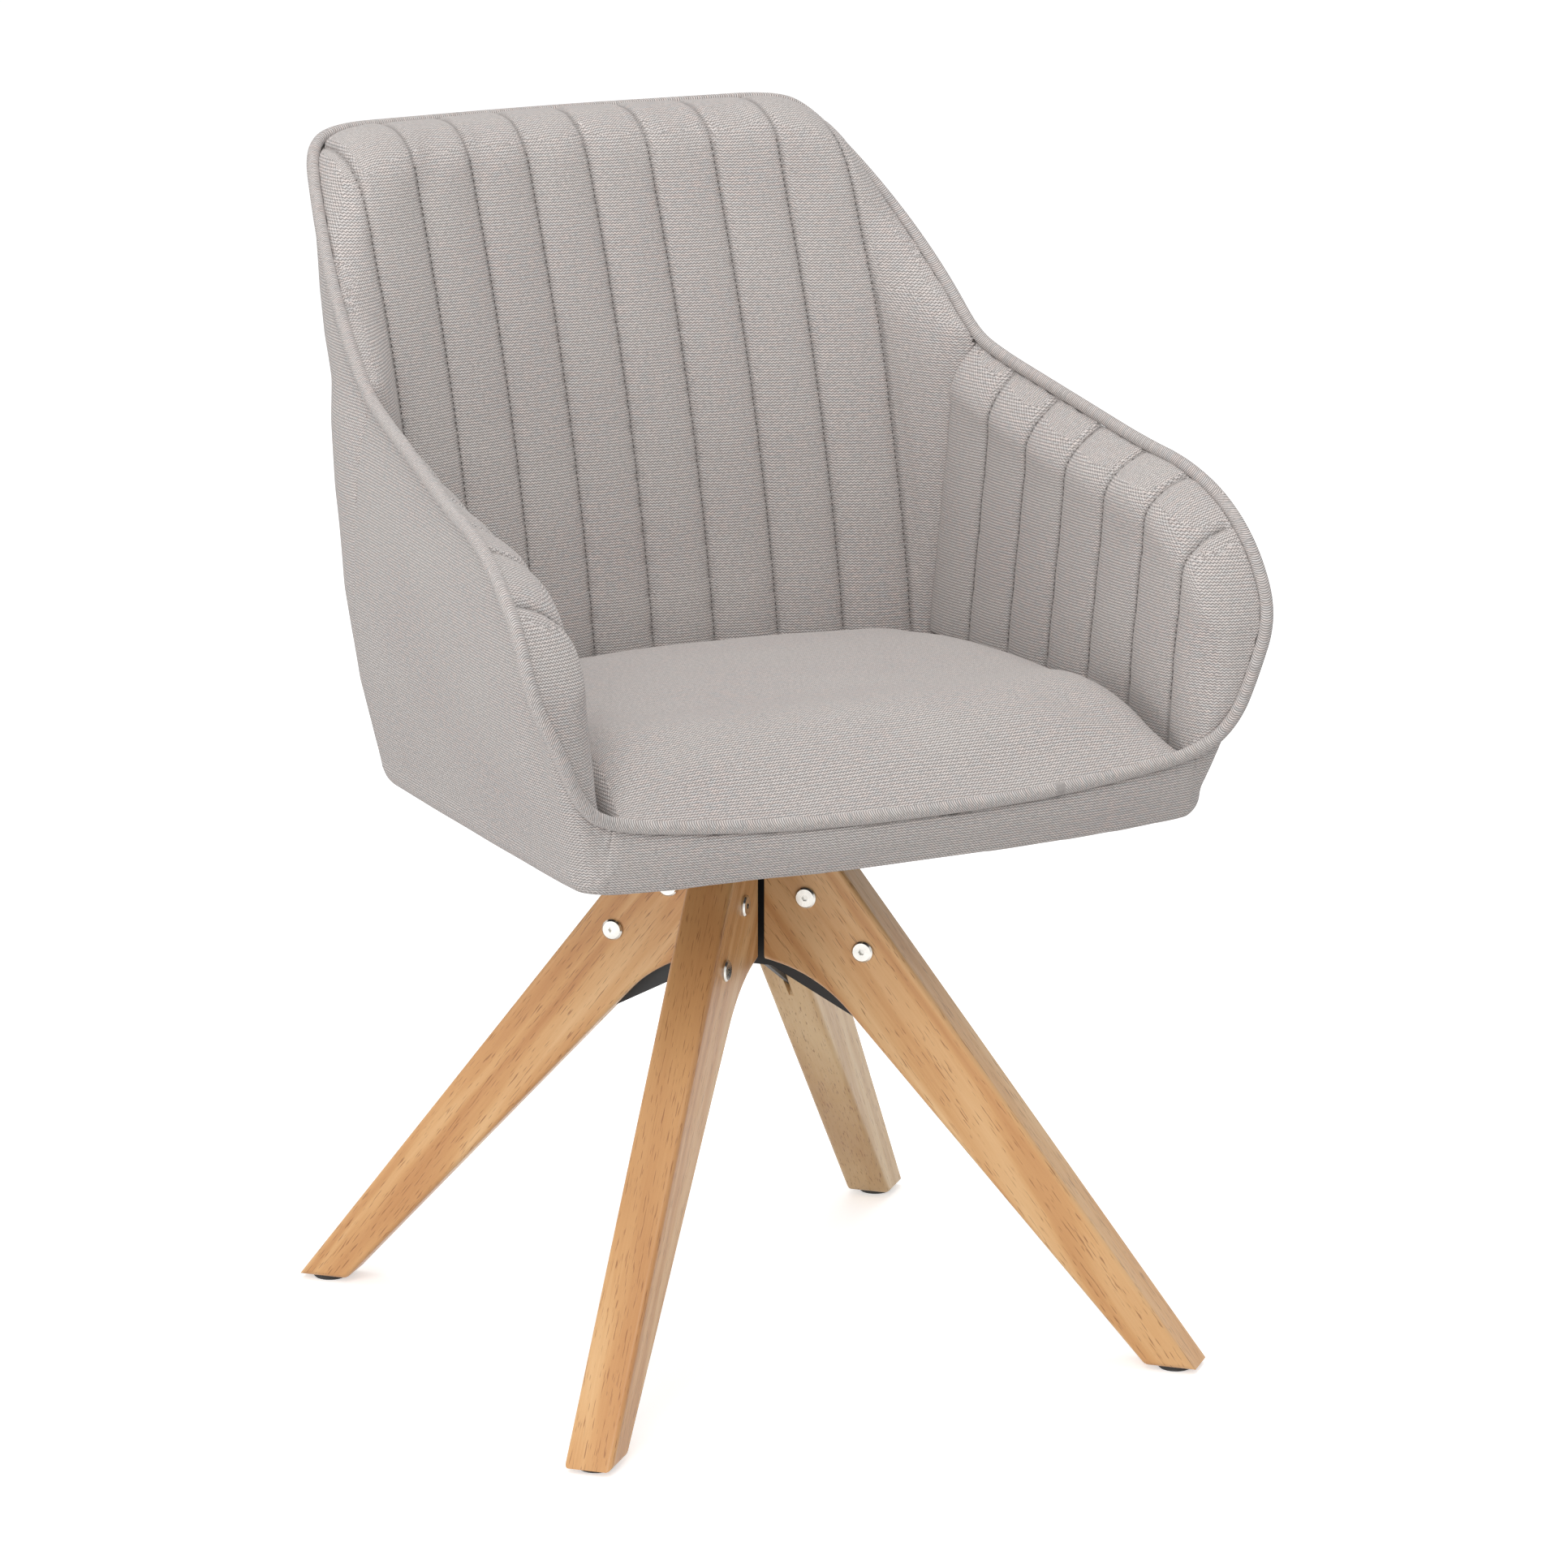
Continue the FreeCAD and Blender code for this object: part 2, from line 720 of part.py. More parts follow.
lower_screw = turned_blank(
    "lower_plate_screw",
    [
        ("0", "Sizes.screw_head_height"),
        ("Sizes.screw_head_radius", "Sizes.screw_head_height"),
        ("Sizes.screw_head_radius", "0"),
        ("Sizes.screw_radius", "0"),
        ("Sizes.screw_radius", "-Sizes.plate_screw_length"),
        ("0", "-Sizes.plate_screw_length"),
    ],
)
place_copies("lower_plate_screws", lower_screw, plate_stations(plate_top + size("swivel_sheet")))
lower_nut = turned_blank(
    "lower_plate_nut",
    [
        ("Sizes.screw_radius", "0"),
        ("Sizes.nut_radius", "0"),
        ("Sizes.nut_radius", "-Sizes.nut_height"),
        ("Sizes.screw_radius", "-Sizes.nut_height"),
    ],
)
place_copies("lower_plate_nuts", lower_nut, plate_stations(size("leg_top")))

washer = turned_blank(
    "seat_washer",
    [
        ("Sizes.screw_radius", "0"),
        ("Sizes.washer_radius", "0"),
        ("Sizes.washer_radius", "-Sizes.washer_thickness"),
        ("Sizes.screw_radius", "-Sizes.washer_thickness"),
    ],
)
flange_base = board_base - size("swivel_sheet")
place_copies("seat_washers", washer, plate_stations(flange_base))
seat_screw = turned_blank(
    "seat_screw",
    [
        ("0", "-Sizes.screw_head_height"),
        ("Sizes.screw_head_radius", "-Sizes.screw_head_height"),
        ("Sizes.screw_head_radius", "0"),
        ("Sizes.screw_radius", "0"),
        ("Sizes.screw_radius", "Sizes.screw_length"),
        ("0", "Sizes.screw_length"),
    ],
)
place_copies("seat_screws", seat_screw, plate_stations(flange_base - size("washer_thickness")))
tee_nut = turned_blank(
    "tee_nut",
    [
        ("Sizes.screw_radius", "0"),
        ("Sizes.tee_flange_radius", "0"),
        ("Sizes.tee_flange_radius", "-Sizes.tee_flange_thickness"),
        ("Sizes.tee_barrel_radius", "-Sizes.tee_flange_thickness"),
        ("Sizes.tee_barrel_radius", "-Sizes.tee_barrel_length"),
        ("Sizes.screw_radius", "-Sizes.tee_barrel_length"),
    ],
)
board_top = board_base + size("board_thickness")
place_copies("tee_nuts", tee_nut, plate_stations(board_top))


def board_outline(body, name, lift, inset="0"):
    """The seat board's plan, or the same plan drawn in by an inset."""
    half = [
        (f"Sizes.board_front_half - {inset}", f"-(Sizes.board_front - {inset})"),
        (f"Sizes.board_side_half - {inset}", f"Sizes.board_side_depth - {inset}"),
        (f"Sizes.board_shoulder_half - {inset}", f"Sizes.board_shoulder_depth - {inset}"),
        (f"Sizes.board_rear_half - {inset}", f"Sizes.board_rear - {inset}"),
    ]
    other = [(f"-({across})", along) for across, along in reversed(half)]
    return outline(body, name, "XY_Plane", half + other, lift)


def upright(edge):
    return edge.BoundBox.ZLength > 0.9 * edge.Length and edge.BoundBox.XLength < 0.01


def make_board():
    body = doc.addObject("PartDesign::Body", "seat_board")
    slab = pad(body, board_outline(body, "board_plan", BOARD_BASE), "Sizes.board_thickness")
    doc.recompute()
    fillet(body, slab, edges_where(slab.Shape, upright), "Sizes.board_corner")
    doc.recompute()
    top = BOARD_BASE + " + Sizes.board_thickness"
    for name, radius, depth in (
        ("tee_bores", "Sizes.tee_barrel_radius", "Sizes.board_thickness"),
        ("tee_seats", "Sizes.tee_flange_radius", "Sizes.tee_flange_thickness"),
    ):
        spots = [(f"{x} * Sizes.plate_hole_reach", f"{y} * Sizes.plate_hole_reach", radius)
                 for x, y in FLANGE_CORNERS]
        pocket(body, circles(body, name, "XY_Plane", spots, top), depth)
        doc.recompute()
    pilots = [(across, along, "Sizes.wood_screw_radius") for across, along in FRAME_SCREWS]
    pocket(body, circles(body, "pilot_holes", "XY_Plane", pilots, top), "Sizes.wood_screw_length")
    doc.recompute()
    return keep(body, "seat_board")


FRONT_FOOT = ("Sizes.board_front_half - Sizes.foot_plate_length / 2 - 1", "-Sizes.front_upright_depth")
REAR_FOOT = ("Sizes.upright_half", "Sizes.board_rear - Sizes.foot_plate_width / 2 - 2")
FRAME_FEET = [FRONT_FOOT, REAR_FOOT]
FRAME_SCREWS = [
    (f"{side} * ({across} {shift} Sizes.foot_plate_length * 0.36)", along)
    for across, along in FRAME_FEET
    for side in (1, -1)
    for shift in ("+", "-")
]
make_board()


def make_dust_cover():
    """Thin black cloth under the board, open where the swivel plate meets the wood."""
    body = doc.addObject("PartDesign::Body", "dust_cover")
    base = BOARD_BASE + " - Sizes.dust_thickness"
    cloth = pad(body, board_outline(body, "dust_plan", base, "Sizes.dust_inset"), "Sizes.dust_thickness")
    doc.recompute()
    fillet(body, cloth, edges_where(cloth.Shape, upright), "Sizes.board_corner - Sizes.dust_inset")
    doc.recompute()
    half = "Sizes.dust_hole"
    corners = [(f"{x} * {half}", f"{y} * {half}") for x, y in FLANGE_CORNERS]
    pocket(body, outline(body, "dust_opening", "XY_Plane", corners, BOARD_BASE), "Sizes.dust_thickness")
    doc.recompute()
    return keep(body, "dust_cover")


make_dust_cover()

# The tub's surfaces, as functions of depth y and height z. Right and left mirror each other.

SEAM = size("seam_depth")
SEAM_Z = board_base + size("rim_seam_rise")
SEAT_LINE = board_base + size("seat_line_rise")
NOSE_Y = size("nose_length") - size("arm_front")
ARM_TOP = board_base + size("arm_rise")
CORNER_Z = board_base + size("corner_rise")
LIP_Z = board_base + size("lip_rise")
COVER = size("cover_thickness")


def quarter(part):
    """How far a quarter round has fallen, 0 to 1, after a part of its run."""
    return 1 - math.sqrt(1 - min(1.0, max(0.0, part)) ** 2)


def blend(part, first, last):
    return first + (last - first) * min(1.0, max(0.0, part))


def arm_rim(y):
    """Half width and height of the rim along an arm."""
    half = size("rim_seam_half") + (SEAM - y) * size("arm_flare")
    along = y - NOSE_Y
    if along < 0:
        return half, ARM_TOP - size("nose_drop") * quarter(-along / size("nose_length"))
    run = SEAM - NOSE_Y
    rest = size("rim_seam_rise") - size("arm_rise") - size("arm_slope") * run
    return half, ARM_TOP + size("arm_slope") * along + rest * (along / run) ** 2


def slope_rim(z):
    """Half width and depth of the rim where it climbs from the seam to the back's top corner."""
    part = min(1.0, max(0.0, (z - SEAM_Z) / (CORNER_Z - SEAM_Z)))
    bow = size("rim_bow")
    half = size("rim_seam_half") - (size("rim_seam_half") - size("corner_half")) * part**2
    return half, SEAM + (size("corner_depth") - SEAM) * ((1 - bow) * part + bow * part**2)


def back_face(x, z):
    """Depth of the backrest's inner face."""
    up = z - SEAT_LINE
    lean = size("back_lean") * up + size("back_curl") * up**2
    return size("back_face_depth") + lean - x**2 / (2 * size("back_plan_radius"))


def arm_face(y, z):
    """Half width of the arm's inner face."""
    flare = (SEAM - y) * size("arm_face_flare")
    return size("arm_face_half") + flare + (z - SEAT_LINE) * size("arm_face_lean")


def side_outer(y, z):
    """Half width of the outer cover beside an arm."""
    if y < CORNER_PIVOT.y:
        return corner_outer(y, z)
    rim_half, rim_z = arm_rim(y)
    part = (z - LIP_Z) / (rim_z - LIP_Z)
    lower = size("side_lower_half") + (SEAM - y) * size("side_lower_flare")
    upper = rim_half + size("piping_radius") - 0.5
    fullness = blend((SEAM - y) / (SEAM + size("arm_front")), size("side_bulge"), size("side_bulge") / 2)
    return lower + (upper - lower) * part + fullness * 4 * part * (1 - part)


def front_edge(x):
    """Depth and height of the piping along the front of the seat."""
    part = (x / size("front_corner_half")) ** 2
    y = -size("front_edge_depth") + size("front_edge_bow") * part
    return y, board_base + blend(part, size("front_edge_rise"), size("front_corner_rise"))


def piping_points():
    """The left half of the loop, from the middle of the front round to the middle of the back's top."""
    points = []
    half = size("front_corner_half")
    for part in (0.3, 0.68):
        y, z = front_edge(half * part)
        points.append(Vector(half * part, y, z))
    y, z = front_edge(half)
    front = -size("arm_front") - 3
    mid_z = ARM_TOP - size("nose_drop")
    points.append(Vector(half, y, z))
    points.append(Vector(half + 22, front + 2, z + 21))
    points.append(Vector(half + 34, front, mid_z - 5))
    for degrees in (15, 35, 55, 75):
        turn = math.radians(degrees)
        y = NOSE_Y - (size("nose_length") + 2) * math.cos(turn)
        rim_half = arm_rim(y)[0] + 4 - 6 * math.cos(turn) ** 4
        points.append(Vector(rim_half, y, mid_z + size("nose_drop") * math.sin(turn)))
    for part in (0.06, 0.34, 0.62, 0.86):
        y = blend(part, NOSE_Y, SEAM)
        rim_half, z = arm_rim(y)
        points.append(Vector(rim_half + 4, y, z))
    for part in (0.02, 0.25, 0.5, 0.75):
        z = blend(part, SEAM_Z, CORNER_Z)
        rim_half, y = slope_rim(z)
        points.append(Vector(rim_half + 4, y, z + 1))
    edge_z = board_base + size("back_edge_rise")
    corner = size("corner_half")
    points.append(Vector(corner + 5, size("corner_depth") + 1, CORNER_Z - 1))
    for x, lift in ((corner - 18, 2), (0.6 * corner, 0), (0.2 * corner, -1)):
        y = size("back_edge_depth") - x**2 / (2 * size("back_edge_radius"))
        points.append(Vector(x, y, edge_z + lift))
    return points


PIPING = piping_points()
CORNER_PIVOT = Vector(
    size("front_corner_half") - size("front_corner_radius"), 2 * size("front_corner_radius") - size("arm_front"), 0
)


def piping_at(degrees):
    """Reach, height and direction of the piping in an upright plane turned about the corner's pivot."""
    found = []
    for point in PIPING:
        offset = point - CORNER_PIVOT
        found.append((math.degrees(math.atan2(-offset.y, offset.x)), math.hypot(offset.x, offset.y), point))
    for (angle, reach, point), (next_angle, next_reach, after) in zip(found, found[1:]):
        if next_angle <= degrees <= angle:
            part = (angle - degrees) / (angle - next_angle)
            return blend(part, reach, next_reach), blend(part, point.z, after.z), (after - point).normalize()
    return found[0][1], found[0][2].z, (found[1][2] - found[0][2]).normalize()


def clear_of_piping(out, z, direction, outward):
    """Move a cover's edge off the piping's centre: downward where the piping runs level, inward where it climbs."""
    inward = blend((abs(direction.z) - 0.3) / 0.4, 0, 1)
    away = (outward * -inward + UP * (inward - 1)).normalize()
    gap = (size("piping_radius") + 1) / math.sqrt(1 - away.dot(direction) ** 2)
    return out + gap * away.dot(outward), z + gap * away.z


def corner_edge(degrees):
    turn = math.radians(degrees)
    reach, z, direction = piping_at(degrees)
    return clear_of_piping(reach, z, direction, Vector(math.cos(turn), -math.sin(turn), 0))


def corner_low(degrees):
    side = side_outer(CORNER_PIVOT.y, LIP_Z) - CORNER_PIVOT.x
    front = CORNER_PIVOT.y - front_edge(CORNER_PIVOT.x)[0] - 8
    return blend(degrees / 90, side, front)


def corner_outer(y, z):
    """Half width of the outer cover where it wraps the front corner."""
    for degrees in range(0, 90, 2):
        turn = math.radians(degrees)
        low = corner_low(degrees)
        reach, top = corner_edge(degrees)
        out = low + (reach - low) * (z - LIP_Z) / (top - LIP_Z)
        if out * math.sin(turn) >= CORNER_PIVOT.y - y:
            break
    return CORNER_PIVOT.x + out * math.cos(turn)


def closed_wire(stops):
    """A closed wire through (point, via) stops: an arc where via is a point, else a line."""
    edges = []
    for k, (point, via) in enumerate(stops):
        after = stops[(k + 1) % len(stops)][0]
        if via:
            edges.append(Part.Arc(point, via, after).toShape())
        else:
            edges.append(Part.makeLine(point, after))
    return Part.Wire(edges)


def loft(wires, ruled=False):
    return Part.makeLoft(wires, True, ruled)


def mirrored(shape):
    return shape.mirror(Vector(0, 0, 0), Vector(1, 0, 0))


def bulged(start, end, share):
    """The middle of an arc that stands off its chord by a share of it, to the right of its run in plan."""
    run = end - start
    return (start + end) / 2 + Vector(run.y, -run.x, 0) * share


# Arm pads: one sewn channel after another, joined at their stitched valleys


def arm_section(y, puff):
    """An upright pad face that turns outward over the frame to the piping, at one depth."""
    rim_half, rim_z = arm_rim(y)
    last_line = SEAM - size("arm_channel") * (size("arm_channels") - 1)
    nose = min(1.0, max(0.0, (last_line - y) / (last_line + size("arm_front"))))
    foot = board_base + size("arm_pad_foot")
    shelf = rim_z - size("arm_roll") * blend(nose, 1, 0.45)
    if y < CORNER_PIVOT.y:
        clear = COVER + 2 + 4.5 * nose
    else:
        clear = COVER + 1.5 + (size("piping_radius") + 1) * blend((NOSE_Y - y) / 80, 0, 1)

    def face(z):
        inner = arm_face(y, z) - puff
        closing = quarter(nose) * blend((z - foot) / 60, 0.1, 0.35)
        return inner + closing * (rim_half - 12 - inner)

    outer = min(rim_half - 1, side_outer(y, rim_z - 6) - clear)
    back = max(face(shelf) + 3, min(face(shelf) + size("arm_pad_thickness"), side_outer(y, shelf) - clear))
    low_back = max(face(foot) + 3, min(face(foot) + 10, side_outer(y, foot) - clear))
    lip = Vector(outer, y, rim_z - 5)
    bend = Vector(face(shelf - 6), y, shelf - 6)
    crest = (lip + bend) / 2 + Vector(-0.16 * (lip.z - bend.z), 0, 0.3 * (outer - bend.x))
    return closed_wire(
        [
            (Vector(face(foot), y, foot), None),
            (Vector(low_back, y, foot), None),
            (Vector(back, y, shelf), None),
            (Vector(outer, y, shelf + 3), None),
            (lip, crest),
            (bend, None),
        ]
    )


def make_arm_pad():
    pitch = size("arm_channel")
    count = int(size("arm_channels"))
    puff = size("arm_puff")
    whole = None
    for k in range(count):
        rear = SEAM - k * pitch
        front = rear - pitch
        if k == count - 1:
            front = -size("arm_front") + 6
            run = rear - front
            stations = [(rear, 0), (rear - 0.4 * run, puff), (rear - 0.7 * run, puff / 2), (rear - 0.88 * run, 0)]
            stations.append((front, 0))
        else:
            stations = [(rear, 0), (rear - 0.25 * pitch, 0.75 * puff), (rear - 0.5 * pitch, puff),
                        (rear - 0.75 * pitch, 0.75 * puff), (front, 0)]
        channel = loft([arm_section(y, bulge) for y, bulge in stations])
        whole = channel if whole is None else whole.fuse(channel)
    return whole


arm_pad = make_arm_pad()
solid_feature("arm_pad_left", arm_pad)
solid_feature("arm_pad_right", mirrored(arm_pad))

# Side covers: a thin bowed skin from the lip under the board to the piping


def cover_section(at, low, top, edge_z, bulge):
    """A bowed skin between its turned-in lip and its top edge. at maps a reach and a height to a point."""
    middle_z = (LIP_Z + edge_z) / 2
    middle = (low + top) / 2 + bulge
    inset = size("lip_inset")
    bend_z = board_base + 0.3 * size("lip_rise")
    return closed_wire(
        [
            (at(low - inset, board_base), at(low - 0.3 * inset, bend_z)),
            (at(low, LIP_Z), at(middle, middle_z)),
            (at(top, edge_z), None),
            (at(top - COVER, edge_z), at(middle - COVER, middle_z)),
            (at(low - COVER, LIP_Z), at(low - 0.65 * inset, bend_z + 0.8 * COVER)),
            (at(low - inset, board_base + COVER), None),
        ]
    )


def side_section(y):
    rim_z = arm_rim(y)[1]
    middle_z = (LIP_Z + rim_z) / 2
    low = side_outer(y, LIP_Z)
    top = side_outer(y, rim_z)
    bulge = side_outer(y, middle_z) - (low + top) / 2
    direction = Vector(0, 2, arm_rim(y + 1)[1] - arm_rim(y - 1)[1]).normalize()
    top, edge_z = clear_of_piping(top, rim_z, direction, Vector(1, 0, 0))
    return cover_section(lambda out, z: Vector(out, y, z), low, top, edge_z, bulge)


def corner_section(degrees):
    turn = math.radians(degrees)
    outward = Vector(math.cos(turn), -math.sin(turn), 0)
    reach, edge_z = corner_edge(degrees)
    bulge = size("side_bulge") / 4 * (1 - degrees / 90)

    def at(out, z):
        return CORNER_PIVOT + outward * out + Vector(0, 0, z)

    return cover_section(at, corner_low(degrees), reach, edge_z, bulge)


def make_side_cover():
    depths = [SEAM - 1, 50, 0, -50, -100, -150, -190]
    turns = [8, 16, 24, 32, 38, 44, 52, 60, 68]
    return loft([side_section(y) for y in depths] + [corner_section(degrees) for degrees in turns], ruled=True)


side_cover = make_side_cover()
solid_feature("side_cover_left", side_cover)
solid_feature("side_cover_right", mirrored(side_cover))

# Back cover and back pad, as level sections


def back_outline(z, depth):
    """Right half of the back cover's outline at a level, drawn in by a depth: rim, bend, shoulder, middle."""
    if z < SEAM_Z:
        rim = Vector(side_outer(SEAM, max(z, LIP_Z)), SEAM + 1, z)
    else:
        half, y = slope_rim(z)
        rim = Vector(half + size("piping_radius") - 2, y + 2.7 * size("piping_radius"), z)
    tuck = size("lip_inset") * quarter((LIP_Z - z) / size("lip_rise")) if z < LIP_Z else 0
    radius = 300 + 0.62 * (z - SEAT_LINE)
    shoulder_x = rim.x * 0.78
    crown_y = back_face(0, max(z, LIP_Z)) + size("wall_thickness")
    shoulder = Vector(shoulder_x, crown_y - shoulder_x**2 / (2 * radius), z)
    bend = bulged(rim, shoulder, 0.19)
    slope = Vector(shoulder_x, radius, 0).normalize()
    outward = Vector(shoulder.y - rim.y, rim.x - shoulder.x, 0).normalize()
    inset = depth + tuck
    return [
        rim - Vector(1, 0, 0) * inset if z < SEAM_Z else rim - outward * inset,
        bend - outward * inset,
        shoulder - slope * inset,
        Vector(0, crown_y - inset, z),
    ]


def flip(point):
    return Vector(-point.x, point.y, point.z)


def back_cover_section(z):
    rim, bend, shoulder, middle = back_outline(z, 0)
    inner_rim, inner_bend, inner_shoulder, inner_middle = back_outline(z, COVER)
    return closed_wire(
        [
            (rim, bend),
            (shoulder, middle),
            (flip(shoulder), flip(bend)),
            (flip(rim), None),
            (flip(inner_rim), flip(inner_bend)),
            (flip(inner_shoulder), inner_middle),
            (inner_shoulder, inner_bend),
            (inner_rim, None),
        ]
    )


def make_back_cover():
    step = size("lip_rise")
    levels = [board_base, board_base + 0.2 * step, board_base + 0.5 * step, LIP_Z]
    levels += [SEAT_LINE, SEAT_LINE + 65, SEAT_LINE + 130, SEAM_Z - 25, SEAM_Z]
    climb = CORNER_Z - SEAM_Z
    levels += [SEAM_Z + climb * part for part in (0.2, 0.4, 0.6, 0.78, 0.9)]
    return loft([back_cover_section(z) for z in levels], ruled=True)


solid_feature("back_cover", make_back_cover())


def back_pad_section(z, roll):
    """Scalloped front, rolled ends and a plain rear. roll runs from 0 to 1 over the top edge."""
    falling = quarter(roll)
    top_z = board_base + size("back_edge_rise") + size("piping_radius")
    puff = size("back_puff") * (1 - 0.6 * falling)
    cover = back_outline(min(z, CORNER_Z), COVER + 1.5)
    if z < SEAM_Z:
        inner = Vector(arm_face(SEAM, z), SEAM + size("seam_gap"), z)
        outer_x = min(inner.x + 0.65 * size("arm_pad_thickness"), cover[0].x)
        outer = Vector(outer_x, inner.y, z)
    else:
        half, y = slope_rim(z)
        half -= 1.5 + size("roll_inset") * falling
        outer = Vector(half, y - 1, z)
        inner_x = half - 16
        inner = Vector(inner_x, min(y - 5, back_face(inner_x, z)), z)
        inner.y += size("roll_depth") * falling
    squeeze = min(1.0, (inner.x - 4) / (size("back_channel") * size("back_channels") / 2))
    push = size("roll_depth") * falling

    def front(x, forward):
        face = max(back_face(x, z), SEAM + size("seam_gap") + 3)
        return Vector(x, face + push - forward, z)

    half_count = int(size("back_channels")) // 2
    lines = [k * size("back_channel") * squeeze for k in range(-half_count, half_count + 1)]
    stops = [(flip(inner), (flip(inner) + front(lines[0], 0)) / 2 + Vector(-0.5, -0.6, 0))]
    for left, right in zip(lines, lines[1:]):
        stops.append((front(left, 0), front((left + right) / 2, puff)))
    stops.append((front(lines[-1], 0), (inner + front(lines[-1], 0)) / 2 + Vector(0.5, -0.6, 0)))
    run = outer - inner
    nose = (inner + outer) / 2 + Vector(run.y, -run.x, 0) * (0.25 if z >= SEAM_Z else 0.02)
    stops.append((inner, nose))
    hook = blend((z - (top_z - 62)) / 24, 0, 1)
    rear_x = 0.74 * outer.x
    thick = size("back_pad_thickness") * blend((z - SEAT_LINE + 50) / 75, 0.6, 1)
    full_y = cover[3].y - rear_x**2 / (2 * (300 + 0.62 * (z - SEAT_LINE))) - 3 - 12 * falling
    shoulder = Vector(rear_x, blend(hook, front(rear_x, -thick).y, full_y), z)
    middle = Vector(0, blend(hook, front(0, -thick).y, cover[3].y - 1 - 13 * falling), z)
    swell = bulged(outer, shoulder, 0.04)
    stops.append((outer, swell))
    stops.append((shoulder, middle))
    stops.append((flip(shoulder), flip(swell)))
    stops.append((flip(outer), flip(nose)))
    return closed_wire(stops)


def make_back_pad():
    top_z = board_base + size("back_edge_rise") + size("piping_radius") + 4
    start = top_z - size("roll_height")
    levels = [(board_base + size("back_pad_foot"), 0), (SEAT_LINE - 25, 0), (SEAT_LINE + 25, 0)]
    levels += [(SEAT_LINE + 80, 0), (SEAT_LINE + 135, 0), (SEAM_Z - 24, 0), (SEAM_Z - 4, 0), (SEAM_Z + 6, 0)]
    climb = start - SEAM_Z
    levels += [(SEAM_Z + climb * part, 0) for part in (0.2, 0.4, 0.6, 0.7, 0.78, 0.88, 1)]
    levels += [(start + size("roll_height") * part, part) for part in (0.4, 0.7, 0.87, 0.96, 1)]
    return loft([back_pad_section(z, roll) for z, roll in levels], ruled=True)


solid_feature("back_pad", make_back_pad())

# Front apron


def apron_section(x):
    y, z = front_edge(x)
    top = z - size("piping_radius") - 1
    turn = board_base + 0.6 * size("lip_rise")
    lip = y + 9 + size("lip_inset")
    return closed_wire(
        [
            (Vector(x, lip, board_base), Vector(x, y + 13, board_base + 3)),
            (Vector(x, y + 8, turn), Vector(x, y + 2, (turn + top) / 2)),
            (Vector(x, y + 1, top), None),
            (Vector(x, y + 1 + COVER, top), Vector(x, y + 2 + COVER, (turn + top) / 2)),
            (Vector(x, y + 8 + COVER, turn), Vector(x, y + 17, board_base + 3 + COVER)),
            (Vector(x, lip, board_base + COVER), None),
        ]
    )


def make_apron():
    half = size("front_corner_half") - 15
    return loft([apron_section(half * part) for part in (-1, -0.6, -0.25, 0.25, 0.6, 1)])


solid_feature("front_apron", make_apron())

# Seat cushion


def cushion_section(share):
    """A front-to-rear slice. share runs from -1 to 1 across; drawn in below and rounded above at the sides."""
    clear = size("cushion_clearance")
    base = board_top + size("foot_plate_thickness")
    level = board_base + size("back_pad_foot")
    puff = size("back_puff")
    rounding = quarter((abs(share) - 1 + size("cushion_round")) / size("cushion_round"))

    def at(y, z):
        return Vector(share * (arm_face(y, SEAT_LINE - 40) - size("arm_puff") - clear), y, z)

    edge_y, edge_z = front_edge(at(-size("arm_front"), 0).x)
    front = edge_y + COVER + 2 + clear
    rear = back_face(at(SEAM, 0).x, level) - puff - clear
    low = base + size("cushion_drawn") * rounding
    crown = board_base + size("cushion_crown") - size("cushion_shoulder") * rounding
    wall = edge_z - 2
    roll = size("cushion_roll_length")
    behind = crown - size("cushion_rear_fall")
    return closed_wire(
        [
            (at(front + COVER + 3, low), None),
            (at(front, wall), at(front + 0.29 * roll, wall + 0.71 * (crown - wall))),
            (at(front + roll, crown), at((front + roll + rear) / 2, crown - 1)),
            (at(rear - 12, behind), at(rear - 4, behind - 4)),
            (at(rear, behind - 12 + 7 * rounding), None),
            (at(rear, low), None),
        ]
    )


def make_cushion():
    narrow = 1 - size("cushion_round")
    shares = [0.3, 0.6, narrow]
    shares += [narrow + size("cushion_round") * part for part in (0.36, 0.64, 0.86, 0.97, 1)]
    shares = [-share for share in reversed(shares)] + [0] + shares
    return loft([cushion_section(share) for share in shares], ruled=True)


solid_feature("seat_cushion", make_cushion())


# Piping and tube frame: straight runs joined by tangent arcs


def rounded_path(points):
    """An open path through the points whose corners are arcs as large as the runs allow."""
    edges = []
    at = points[0]
    for before, point, after in zip(points, points[1:], points[2:]):
        back = (before - point).normalize()
        ahead = (after - point).normalize()
        reach = 0.45 * min((before - point).Length, (after - point).Length)
        half_turn = (math.pi - back.getAngle(ahead)) / 2
        start = point + back * reach
        end = point + ahead * reach
        edges.append(Part.makeLine(at, start))
        inward = (back + ahead).normalize()
        radius = reach / math.tan(half_turn)
        edges.append(Part.Arc(start, point + inward * (radius / math.cos(half_turn) - radius), end).toShape())
        at = end
    edges.append(Part.makeLine(at, points[-1]))
    return Part.Wire(edges)


def tube(points, radius):
    path = rounded_path(points)
    start = (points[1] - points[0]).normalize()
    ring = Part.Wire([Part.makeCircle(radius, points[0], start)])
    solid = path.makePipeShell([ring], True, False)
    expected = math.pi * radius**2 * path.Length
    print("tube volume against section times length:", round(solid.Volume / expected, 4))
    return solid


def make_piping():
    half = PIPING
    end = Vector(0.25, size("back_edge_depth"), half[-1].z)
    loop = [flip(end)] + [flip(point) for point in reversed(half)] + half + [end]
    return tube(loop, size("piping_radius"))


solid_feature("piping_cord", make_piping())


def hollow_tube(points):
    radius = size("tube_radius")
    return tube(points, radius).cut(tube(points, radius - size("tube_wall")))


